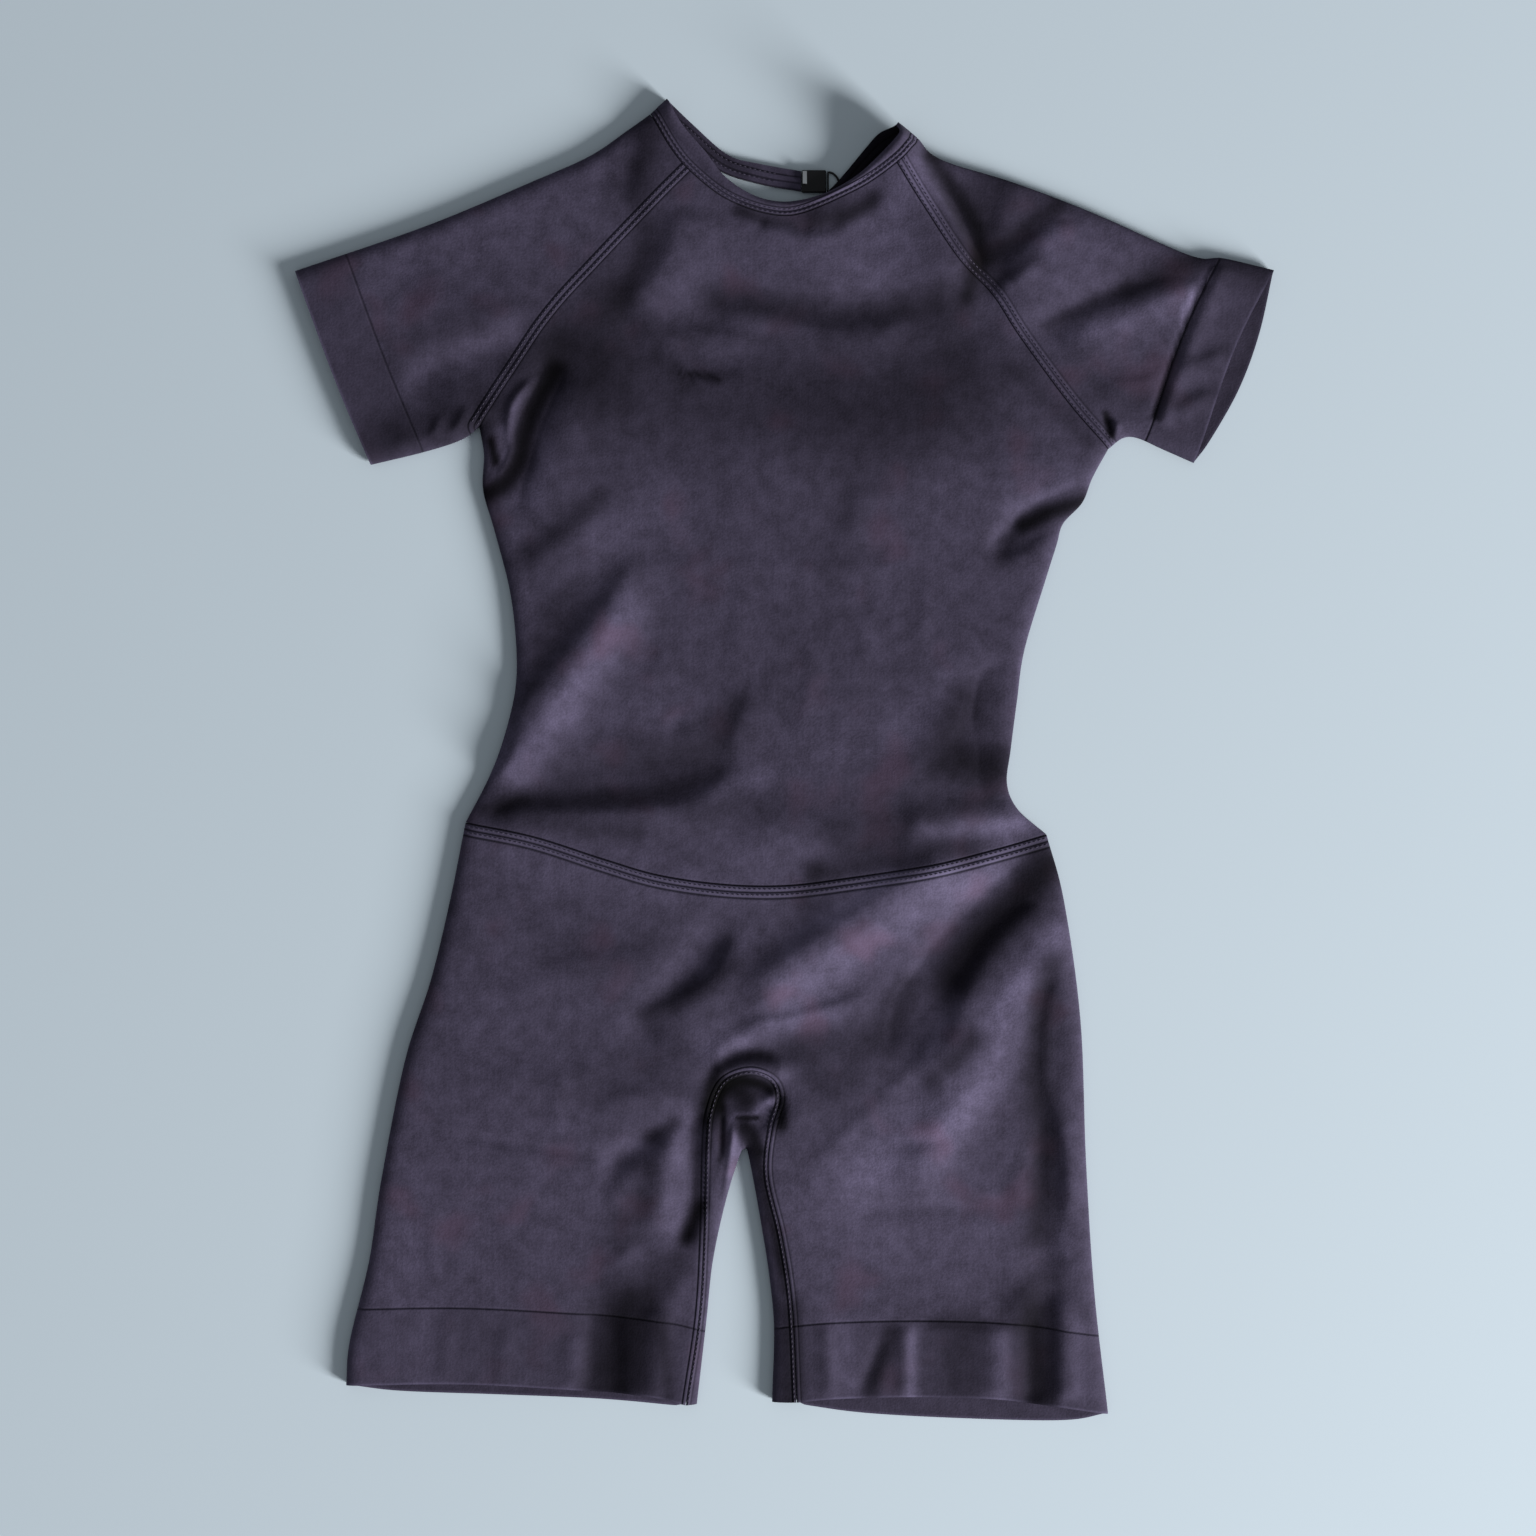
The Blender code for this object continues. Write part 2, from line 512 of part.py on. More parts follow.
def bodice_front():
    waist = ended(inset(spline(FRONT_WAIST), HALF_GAP), RIGHT_FOLD[0], LEFT_FOLD[0])
    top, _ = seam_edge([(spline(RIGHT_RAGLAN), RAGLAN_PLACES),
                        (rows_between(NECKLINE, *BODICE_NECK), NECK_PLACES),
                        (spline(LEFT_RAGLAN), 1 - RAGLAN_PLACES[::-1])],
                       -HALF_GAP, RIGHT_FOLD[-1], LEFT_FOLD[-1])
    grid = coons(along(waist, FRONT_ACROSS), top, along(RIGHT_FOLD, SIDE_PLACES),
                 along(LEFT_FOLD, SIDE_PLACES), FRONT_ACROSS, SIDE_PLACES)
    return walled("bodice_front", [(grid, split_grid(grid, front_height, HALF_GAP), False)],
                  CLOTH_WALL, "knit")


def bodice_back():
    """One panel like a U round the open back, from its outer edge to the opening's."""
    waist = ended(inset(spline(BACK_WAIST), HALF_GAP), RIGHT_FOLD[0], LEFT_FOLD[0])
    right_raglan = ended(inset(spline(RIGHT_BACK_RAGLAN), -HALF_GAP), RIGHT_FOLD[-1])
    left_raglan = ended(inset(spline(LEFT_BACK_RAGLAN), -HALF_GAP), None, LEFT_FOLD[-1])
    opening = ended(spline(OPEN_BACK), right_raglan[-1], left_raglan[0])
    outer = np.vstack([along(RIGHT_FOLD, SIDE_PLACES[::-1]), along(waist, FRONT_ACROSS)[1:-1],
                       along(LEFT_FOLD, SIDE_PLACES)])
    bottom = 1 - 2 * OPENING_SIDE_SHARE
    places = np.concatenate([OPENING_SIDE_SHARE * SIDE_PLACES,
                             OPENING_SIDE_SHARE + bottom * FRONT_ACROSS[1:-1],
                             OPENING_SIDE_SHARE + bottom + OPENING_SIDE_SHARE * SIDE_PLACES])
    grid = coons(outer, along(opening, places), along(right_raglan, BACK_RAGLAN_PLACES),
                 along(left_raglan[::-1], BACK_RAGLAN_PLACES), places, BACK_RAGLAN_PLACES)
    return walled("bodice_back", [(grid, split_grid(grid, back_height, -HALF_GAP), True)],
                  CLOTH_WALL, "knit")


# sleeves ----------------------------------------------------------------------------------------
def nape_split(strap_table, nape_table):
    """A strap's seam as far as the sleeve reaches along it, and the sleeve's free edge from there."""
    seam = spline(strap_table)
    stop = int(np.argmin(np.linalg.norm(seam - nape_table[0], axis=1)))
    return seam[:stop + 1], seam[stop:], ended(spline(nape_table), seam[stop])


def sleeve(name, side, shoulder, underarm, cuffs, neck_seam, raglan, back_raglan, nape):
    """A knitted tube, folded at the shoulder line and the underarm, front and back layer."""
    shoulder = trimmed(spline(shoulder), start=0)
    underarm = trimmed(spline(underarm), start=0)
    up = np.linspace(0, 1, SLEEVE_ROWS)
    strap_seam, _, nape_edge = nape_split(*nape)
    ends = ([(neck_seam, PEAK_PLACES), (raglan, 1 - RAGLAN_PLACES[::-1])],
            [(strap_seam, STRAP_SEAM_PLACES), (nape_edge, np.linspace(0, 1, NAPE_STEPS)),
             (back_raglan, 1 - BACK_RAGLAN_PLACES[::-1])])
    grids = []
    for cuff, end, height, below in zip(cuffs, ends, (front_height, back_height), (False, True)):
        cuff = ended(spline(cuff), shoulder[0], underarm[0])
        top, across = seam_edge(end, side * HALF_GAP, shoulder[-1], underarm[-1])
        grid = coons(along(cuff, across), top, along(shoulder, up), along(underarm, up), across, up)
        grids.append((grid, raised(grid, height), below))
    return walled(name, grids, CLOTH_WALL, "knit")


def sleeve_right():
    return sleeve("sleeve_right", -1, RIGHT_SHOULDER, RIGHT_UNDERARM, (RIGHT_CUFF, RIGHT_CUFF),
                  rows_between(NECKLINE, 0, BODICE_NECK[0]), spline(RIGHT_RAGLAN)[::-1],
                  spline(RIGHT_BACK_RAGLAN)[::-1], (RIGHT_STRAP_FOOT, RIGHT_NAPE_EDGE))


def sleeve_left():
    last = len(NECKLINE) - 1
    return sleeve("sleeve_left", 1, LEFT_SHOULDER, LEFT_UNDERARM, (LEFT_FRONT_CUFF, LEFT_BACK_CUFF),
                  rows_between(NECKLINE, BODICE_NECK[1], last)[::-1], spline(LEFT_RAGLAN),
                  spline(LEFT_BACK_RAGLAN), (LEFT_STRAP_FOOT, LEFT_NAPE_EDGE))


# shorts -----------------------------------------------------------------------------------------
ARCH_ROWS = len(RIGHT_INSEAM) - 1, len(RIGHT_INSEAM) + len(CROTCH_ARCH) - 2
LEG_BREAKS = (int(np.argmin(abs(FRONT_ACROSS - RIGHT_LEG_SHARE))),
              int(np.argmin(abs(FRONT_ACROSS - 1 + LEFT_LEG_SHARE))))
ARCH_PLACES = FRONT_ACROSS[LEG_BREAKS[0]:LEG_BREAKS[1] + 1]
ARCH_PLACES = (ARCH_PLACES - ARCH_PLACES[0]) / (ARCH_PLACES[-1] - ARCH_PLACES[0])


def hip_parts(table, level):
    """A hip's folded edge in two parts, hem to crotch level and crotch level to waist."""
    line = trimmed(spline(table), end=0)[::-1]
    k = int(np.searchsorted(line[:, 1], level))
    return line[:k + 1], line[k:]


def inseam_parts(shift):
    """The inseam's line in three parts: right leg, arch over the crotch, left leg."""
    line = inset(spline(INSEAM_TABLE), shift)
    first, last = ARCH_ROWS[0] * STEPS, ARCH_ROWS[1] * STEPS
    return line[:first + 1], line[first:last + 1], line[last:]


def shorts():
    right_leg, right_hip = hip_parts(RIGHT_HIP, RIGHT_INSEAM[-1][1])
    left_leg, left_hip = hip_parts(LEFT_HIP, LEFT_INSEAM[0][1])
    right_inseam, arch, left_inseam = inseam_parts(HALF_GAP)
    right_level = np.array([right_hip[0], arch[0]])
    left_level = np.array([arch[-1], left_hip[0]])
    right_across = FRONT_ACROSS[:LEG_BREAKS[0] + 1] / FRONT_ACROSS[LEG_BREAKS[0]]
    left_across = 1 - (1 - FRONT_ACROSS[LEG_BREAKS[1]:]) / (1 - FRONT_ACROSS[LEG_BREAKS[1]])
    low = np.vstack([along(right_level, right_across), along(arch, ARCH_PLACES)[1:-1],
                     along(left_level, left_across)])
    hip_up = np.linspace(0, 1, HIP_ROWS)
    grids = []
    for waist, right_hem, left_hem, height, below in (
            (FRONT_WAIST, RIGHT_FRONT_HEM, LEFT_FRONT_HEM, front_height, False),
            (BACK_WAIST, RIGHT_BACK_HEM, LEFT_BACK_HEM, back_height, True)):
        waist = ended(inset(spline(waist), -HALF_GAP), right_hip[-1], left_hip[-1])
        right_hem = ended(spline(right_hem), right_leg[0], right_inseam[0])
        left_hem = ended(spline(left_hem), left_inseam[-1], left_leg[0])
        panels = [
            coons(low, along(waist, FRONT_ACROSS), along(right_hip, hip_up),
                  along(left_hip, hip_up), FRONT_ACROSS, hip_up),
            coons(along(right_hem, right_across), along(right_level, right_across),
                  along(right_leg, LEG_PLACES), along(right_inseam, LEG_PLACES),
                  right_across, LEG_PLACES),
            coons(along(left_hem, left_across), along(left_level, left_across),
                  along(left_inseam[::-1], LEG_PLACES), along(left_leg, LEG_PLACES),
                  left_across, LEG_PLACES)]
        grids += [(panel, raised(panel, height), below) for panel in panels]
    return walled("shorts", grids, CLOTH_WALL, "knit")


def inner_leg_gusset():
    """Strip from hem to hem over the crotch, folded along the inner edges of the legs."""
    fold = spline(RIGHT_INNER_LEG + [CROTCH_TIP] + LEFT_INNER_LEG)
    first, last = (len(RIGHT_INNER_LEG) - 1) * STEPS, (len(RIGHT_INNER_LEG) + 1) * STEPS
    fold_parts = fold[:first + 1], fold[first:last + 1], fold[last:]
    stretches = zip(fold_parts, inseam_parts(-HALF_GAP),
                    (LEG_PLACES, ARCH_PLACES[1:-1], 1 - LEG_PLACES[::-1]))
    inner, outer = [np.vstack(lines) for lines in zip(*[
        (along(part, places), along(seam, places)) for part, seam, places in stretches])]
    w = np.array(GUSSET_ACROSS)[:, None, None]
    grid = (1 - w) * inner[None] + w * outer[None]
    return walled("inner_leg_gusset", [(grid, raised(grid, front_height), False),
                                       (grid, raised(grid, back_height), True)], CLOTH_WALL, "knit")


# neck binding and clasp -------------------------------------------------------------------------
def peak_corner(peak, free_end):
    """The binding's corner at a shoulder peak, half a gap from the sleeve."""
    peak, free_end = np.array(peak), np.array(free_end)
    return peak + HALF_GAP * (free_end - peak) / np.linalg.norm(free_end - peak)


def strap_edge(strap_table, nape_table, corner):
    """A strap's foot from the peak to its end: the sleeve's seam, then free."""
    seam, free, _ = nape_split(strap_table, nape_table)
    places = np.linspace(0, 1, STRAP_STEPS + 1)
    shift = HALF_GAP if strap_table is RIGHT_STRAP_FOOT else -HALF_GAP
    return seam_edge([(seam, STRAP_SEAM_PLACES), (free, places)], shift, corner, None)


def neck_binding():
    """Right strap, front neckline and left strap in one strip, folded over the two peaks."""
    corners = (peak_corner(NECKLINE[0], NECK_EDGE[0]), peak_corner(NECKLINE[-1], NECK_EDGE[-1]))
    last = len(NECKLINE) - 1
    front_foot, front_places = seam_edge(
        [(rows_between(NECKLINE, 0, BODICE_NECK[0]), PEAK_PLACES),
         (rows_between(NECKLINE, *BODICE_NECK), NECK_PLACES),
         (rows_between(NECKLINE, BODICE_NECK[1], last), 1 - PEAK_PLACES[::-1])],
        HALF_GAP, *corners)
    right_foot, right_places = strap_edge(RIGHT_STRAP_FOOT, RIGHT_NAPE_EDGE, corners[0])
    left_foot, left_places = strap_edge(LEFT_STRAP_FOOT, LEFT_NAPE_EDGE, corners[1])
    w = np.linspace(0, 1, BINDING_COLUMNS)[:, None, None]
    panels = []
    for foot, free, height, below in (
            (right_foot[::-1], along(spline(RIGHT_STRAP_TOP), right_places)[::-1], back_height, True),
            (front_foot, along(spline(NECK_EDGE), front_places), front_height, False),
            (left_foot, along(spline(LEFT_STRAP_TOP), left_places), back_height, True)):
        grid = (1 - w) * foot[None] + w * free[None]
        panels.append((grid, raised(grid, height), below))
    to_end = (1 - left_places) * length(left_foot)
    run = np.clip((STRAP_LIFT_START - to_end) / (STRAP_LIFT_START - STRAP_LIFT_END), 0, 1)
    panels[-1][1][:, :, 2] += STRAP_LIFT * (run * run * (3 - 2 * run))[None]
    return walled("neck_binding", panels, BINDING_WALL, "binding")


def rounded_block(name, low, high, bevel, finish):
    """A box between two corners with rounded edges."""
    low, high = np.array(low) * MM, np.array(high) * MM
    mesh = bmesh.new()
    bmesh.ops.create_cube(mesh, size=1)
    bmesh.ops.scale(mesh, vec=high - low, verts=mesh.verts)
    bmesh.ops.translate(mesh, vec=(low + high) / 2, verts=mesh.verts)
    bmesh.ops.bevel(mesh, geom=list(mesh.edges), offset=bevel * MM, segments=2, affect="EDGES",
                    profile=0.5)
    data = bpy.data.meshes.new(name)
    mesh.to_mesh(data)
    mesh.free()
    return placed(name, data, finish)


def clasp_ring():
    """A wire bent to a D, its straight side at the hook and its bow under the left strap."""
    angles = np.linspace(np.pi / 2, -np.pi / 2, RING_STEPS)
    bow = [(RING_X + RING_BOW * np.cos(a), RING_Y + RING_HALF * np.sin(a)) for a in angles]
    curve = bpy.data.curves.new("clasp_ring", "CURVE")
    curve.dimensions = "3D"
    wire = curve.splines.new("POLY")
    wire.points.add(len(bow) - 1)
    for point, (x, y) in zip(wire.points, bow):
        point.co = (x * MM, y * MM, (RING_WIRE / 2 + RING_CLEAR) * MM, 1)
    wire.use_cyclic_u = True
    curve.bevel_depth = RING_WIRE / 2 * MM
    curve.bevel_resolution = 1
    curve.materials.append(material("ring"))
    ring = bpy.data.objects.new("clasp_ring", curve)
    GARMENT.objects.link(ring)
    return ring


def build():
    bodice_front()
    bodice_back()
    sleeve_right()
    sleeve_left()
    shorts()
    inner_leg_gusset()
    neck_binding()
    rounded_block("clasp_hook", HOOK_LOW, HOOK_HIGH, 0.8, "hook")
    rounded_block("clasp_bar", BAR_LOW, BAR_HIGH, 0.35, "bar")
    clasp_ring()


for old in list(bpy.data.objects):
    bpy.data.objects.remove(old)
GARMENT = bpy.data.collections.new("workout_romper")
bpy.context.scene.collection.children.link(GARMENT)
build()
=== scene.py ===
# %% [markdown]
# # A workout romper, laid flat
#
# The garment is a seamless-knit romper: a body tube with raglan sleeves, bike-short legs, a bound
# round neck and an open back that closes with a small clasp. It lies on its back on a smooth
# surface. The solids that came with it already have its outline and its largest folds. This file
# dresses them: each panel becomes a finer shell with creases, welts and seams, the threads are laid
# along the seams, the cloth gets its knit and its painted light and shade, and the scene its light.

import bmesh
import bpy
import numpy as np
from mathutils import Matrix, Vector


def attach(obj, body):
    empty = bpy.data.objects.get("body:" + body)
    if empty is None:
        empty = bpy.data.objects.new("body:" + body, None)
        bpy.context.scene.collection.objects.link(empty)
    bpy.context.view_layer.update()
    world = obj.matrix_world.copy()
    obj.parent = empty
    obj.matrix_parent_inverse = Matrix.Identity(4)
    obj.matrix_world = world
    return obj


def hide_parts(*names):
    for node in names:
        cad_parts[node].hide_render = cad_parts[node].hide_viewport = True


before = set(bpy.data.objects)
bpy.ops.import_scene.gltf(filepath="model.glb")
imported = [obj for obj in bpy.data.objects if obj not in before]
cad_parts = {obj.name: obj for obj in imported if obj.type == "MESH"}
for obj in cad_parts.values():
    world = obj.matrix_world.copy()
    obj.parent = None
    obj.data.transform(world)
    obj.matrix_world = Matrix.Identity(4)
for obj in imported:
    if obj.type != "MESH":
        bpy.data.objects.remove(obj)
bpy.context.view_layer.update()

# %% [markdown]
# ## Sizes
#
# Cloth is easiest to think about in millimetres, so every table here is in millimetres, with x
# towards the wearer's left, y towards the head and z up from the surface. `MM` turns them into
# Blender's metres when a mesh is made. The outlines are short tables of points that a smooth line
# runs through, because that is how a pattern cutter draws them too.

# %% Sizes of cloth, binding and thread
MM = 0.001
CLOTH_WALL = 1.15
BINDING_WALL = 1.9
SEAM_GAP = 0.3
HALF_GAP = SEAM_GAP / 2
FOLD_RISE = 3.0
FRONT_ROUND = 9.0
FRONT_HEIGHT = 6.0
LOWEST_FRONT = 3.4
EDGE_BODY, EDGE_REACH = 2.3, 26.0
STRAP_LIFT = 1.6
STRAP_LIFT_START, STRAP_LIFT_END = 30.0, 16.0
SUNK_SHARE = 0.1        # share of a trough that shows below the lowest height
STEPS = 8               # points of a smooth line between two rows of its table
PEAKS = [(-68.5, 355.0, 15.0, 1.4), (66.5, 341.0, 24.0, 7.0)]    # x, y, reach, rise
print("cloth", CLOTH_WALL, "mm, binding", BINDING_WALL, "mm")

# %% Outlines: the folded edges
RIGHT_SIDE = [      # right armpit down to the waist seam
    (-166.0, 181.0), (-163.5, 166.0), (-164.0, 147.0), (-158.0, 125.5), (-149.5, 92.5),
    (-146.0, 62.5), (-146.5, 38.0), (-153.0, 11.0), (-161.0, -10.0), (-173.5, -34.0)]
LEFT_SIDE = [       # left armpit down to the waist seam, with its small nip at the upper end
    (176.0, 169.0), (167.5, 153.5), (162.0, 140.0), (151.5, 128.5), (148.0, 117.0),
    (142.0, 98.0), (130.5, 60.0), (126.5, 32.5), (123.0, 5.5), (121.0, -13.0), (127.0, -27.0),
    (142.5, -40.5)]
RIGHT_HIP = [       # waist seam down to the right hem
    (-173.5, -34.0), (-182.0, -76.5), (-192.5, -120.0), (-206.5, -163.5), (-219.5, -229.0),
    (-226.0, -272.5), (-236.5, -316.0), (-238.5, -340.0)]
LEFT_HIP = [
    (142.5, -40.5), (152.0, -76.5), (161.0, -141.5), (164.0, -218.0), (168.5, -289.0),
    (176.0, -355.5)]
RIGHT_INNER_LEG = [
    (-47.7, -350.2), (-42.5, -305.0), (-39.0, -272.5), (-32.0, -240.0), (-24.5, -215.5)]
LEFT_INNER_LEG = [(-19.5, -215.5), (-12.5, -253.5), (-8.0, -283.0), (-5.7, -310.0), (-6.8, -349.0)]
CROTCH_TIP = (-22.0, -212.0)
RIGHT_INSEAM = [(-53.7, -350.5), (-46.5, -302.5), (-44.0, -261.5), (-42.5, -207.0)]
CROTCH_ARCH = [(-42.5, -207.0), (-40.0, -188.0), (-33.0, -174.0), (-19.0, -168.5), (-6.5, -173.0),
               (-2.5, -184.0)]
LEFT_INSEAM = [(-2.5, -184.0), (-7.0, -201.0), (-9.0, -226.0), (-1.5, -259.0), (4.0, -296.5),
               (6.5, -349.0)]
RIGHT_SHOULDER = [  # cuff to the right peak of the neck
    (-266.2, 266.0), (-195.0, 290.5), (-137.5, 314.5), (-106.0, 328.5), (-86.0, 342.0),
    (-73.0, 351.0)]
RIGHT_UNDERARM = [(-225.0, 160.5), (-196.0, 167.5), (-176.0, 174.0), (-166.0, 181.0)]
LEFT_SHOULDER = [
    (266.2, 266.5), (238.5, 273.0), (220.5, 274.5), (168.0, 297.5), (123.5, 314.5), (84.0, 326.5),
    (72.0, 337.0)]
LEFT_UNDERARM = [(222.5, 161.5), (205.5, 169.0), (192.0, 175.0), (184.0, 175.0), (176.0, 169.0)]
print("shoulders from", RIGHT_SHOULDER[0], "to", LEFT_SHOULDER[0])

# %% Seams and open edges
FRONT_WAIST = [(-173.5, -34.0), (-136.5, -41.5), (-99.0, -53.5), (-68.0, -62.5), (-32.0, -67.5),
               (1.5, -68.0), (34.5, -64.0), (79.5, -57.0), (112.5, -49.0), (142.5, -40.5)]
BACK_WAIST = [(-173.5, -34.0), (-89.5, -39.5), (-2.5, -43.0), (74.0, -43.0), (142.5, -40.5)]
RIGHT_RAGLAN = [    # front seam, armpit up to the neck
    (-166.0, 181.0), (-149.5, 207.0), (-125.0, 242.5), (-100.0, 270.0), (-68.0, 303.5),
    (-51.5, 320.0)]
LEFT_RAGLAN = [     # neck down to the armpit
    (60.5, 322.5), (75.5, 299.0), (94.0, 272.0), (111.5, 255.0), (128.0, 229.5), (154.5, 193.5),
    (176.0, 169.0)]
RIGHT_BACK_RAGLAN = [(-166.0, 181.0), (-144.0, 212.0), (-114.0, 243.0), (-88.0, 262.0)]
LEFT_BACK_RAGLAN = [(95.0, 258.0), (119.0, 234.0), (149.0, 200.0), (176.0, 169.0)]
OPEN_BACK = [       # body's share of the edge, from the right back raglan round to the left one
    (-88.0, 262.0), (-96.0, 225.0), (-98.0, 180.0), (-94.0, 130.0), (-84.0, 84.0), (-68.0, 46.0),
    (-42.0, 19.0), (-6.0, 9.0), (31.0, 18.0), (59.0, 45.0), (79.0, 84.0), (92.0, 130.0),
    (100.0, 180.0), (101.0, 225.0), (95.0, 258.0)]
RIGHT_NAPE_EDGE = [(-42.0, 325.8), (-60.0, 303.0), (-76.0, 282.0), (-88.0, 262.0)]
LEFT_NAPE_EDGE = [(47.0, 319.5), (65.0, 298.0), (82.0, 277.0), (95.0, 258.0)]
RIGHT_FRONT_HEM = [
    (-238.5, -340.0), (-182.5, -339.0), (-134.0, -341.0), (-76.5, -345.5), (-53.7, -350.5)]
RIGHT_BACK_HEM = [
    (-238.5, -340.0), (-209.5, -343.5), (-155.0, -345.5), (-100.5, -347.8), (-53.7, -352.0)]
LEFT_FRONT_HEM = [(6.5, -349.0), (30.0, -347.0), (70.5, -346.0), (111.5, -347.0), (138.0, -350.0),
                  (176.0, -355.5)]
LEFT_BACK_HEM = [(6.5, -350.5), (43.5, -355.5), (98.0, -358.5), (152.0, -359.5), (176.0, -355.5)]
RIGHT_CUFF = [(-266.2, 266.0), (-244.5, 207.0), (-225.0, 160.5)]
LEFT_FRONT_CUFF = [(266.2, 266.5), (250.5, 236.5), (240.0, 211.5), (228.0, 176.0), (222.5, 161.5)]
LEFT_BACK_CUFF = [(266.2, 266.5), (258.5, 232.0), (247.5, 202.0), (232.0, 174.5), (222.5, 161.5)]

# the neck binding's two edges: along the front neckline, then each back strap from its peak
NECKLINE = [        # edge sewn to the panels, right peak to left peak
    (-73.0, 351.0), (-62.0, 332.5), (-51.5, 320.0), (-33.0, 305.5), (-10.5, 297.0), (9.5, 296.8),
    (38.5, 309.0), (60.5, 322.5), (70.0, 332.0), (72.0, 337.0)]
NECK_EDGE = [       # free edge
    (-64.0, 359.5), (-55.5, 345.0), (-43.5, 331.0), (-33.0, 317.5), (-20.5, 308.5), (-8.0, 304.0),
    (5.5, 303.5), (22.0, 307.5), (38.5, 316.5), (54.0, 329.5), (62.0, 338.5), (61.5, 345.5)]
RIGHT_STRAP_TOP = [(-64.0, 359.5), (-49.5, 345.5), (-31.0, 329.5), (-13.5, 324.5), (9.0, 320.5)]
RIGHT_STRAP_FOOT = [(-73.0, 351.0), (-56.5, 338.0), (-36.0, 321.0), (-13.5, 313.5), (9.0, 309.5)]
LEFT_STRAP_TOP = [(61.5, 345.5), (52.0, 341.5), (44.5, 333.5), (31.0, 317.0), (21.5, 307.0)]
LEFT_STRAP_FOOT = [(72.0, 337.0), (62.0, 333.0), (52.5, 325.5), (39.0, 309.5), (29.5, 299.5)]
print("neckline from", NECKLINE[0], "to", NECKLINE[-1])

# %% The largest folds
FOLDS = [
    # x1,   y1,     x2,    y2,    left, right, height
    (64.0, 336.0, 98.0, 277.0, 5.0, 26.0, 7.5),         # ridge where the collar stands up
    (104.0, 310.0, 106.0, 274.0, 9.0, 16.0, -4.2),      # valley behind it on the sleeve
    (146.0, 300.0, 111.0, 262.0, 11.0, 11.0, -3.0),
    (218.0, 268.0, 148.0, 236.0, 10.0, 13.0, -3.0),
    (-190.0, 250.0, -140.0, 228.0, 14.0, 14.0, 2.0),
    (-75.0, 242.0, 95.0, 240.0, 18.0, 22.0, -2.6),      # chest trough
    (-150.0, 150.0, -128.0, 210.0, 10.0, 14.0, -3.2),
    (-90.0, 76.0, -150.0, -5.0, 14.0, 12.0, 3.0),       # ridge down to the right waist
    (-165.0, -18.0, -40.0, 0.0, 10.0, 14.0, -2.8),
    (112.0, 40.0, 116.0, -18.0, 14.0, 12.0, -2.6),
    (162.0, 139.0, 120.0, 118.0, 7.0, 8.0, -4.0),       # nip below the left armpit
    (75.0, -66.0, -12.0, -125.0, 14.0, 16.0, 2.6),
    (145.0, -62.0, 62.0, -142.0, 16.0, 16.0, -3.0),
    (138.0, -108.0, 74.0, -222.0, 14.0, 14.0, 2.4),
    (-40.0, -100.0, -72.0, -142.0, 12.0, 12.0, -2.6),
    (144.0, -125.0, 142.0, -340.0, 8.0, 10.0, -2.4),
    (-90.0, -218.0, -62.0, -200.0, 8.0, 8.0, -2.6),
    (-100.0, -305.0, -96.0, -346.0, 12.0, 12.0, -2.4),
    (30.0, 303.0, 22.0, 300.0, 13.0, 13.0, 2.6),        # lies over the ring and the strap's end
    (-30.0, -184.0, -15.0, -190.0, 8.0, 8.0, -5.5),     # hollow under the crotch arch
    (-34.0, -168.0, -4.0, -168.0, 7.0, 5.0, 2.6),       # arch's own ridge
]
print(len(FOLDS), "large folds")
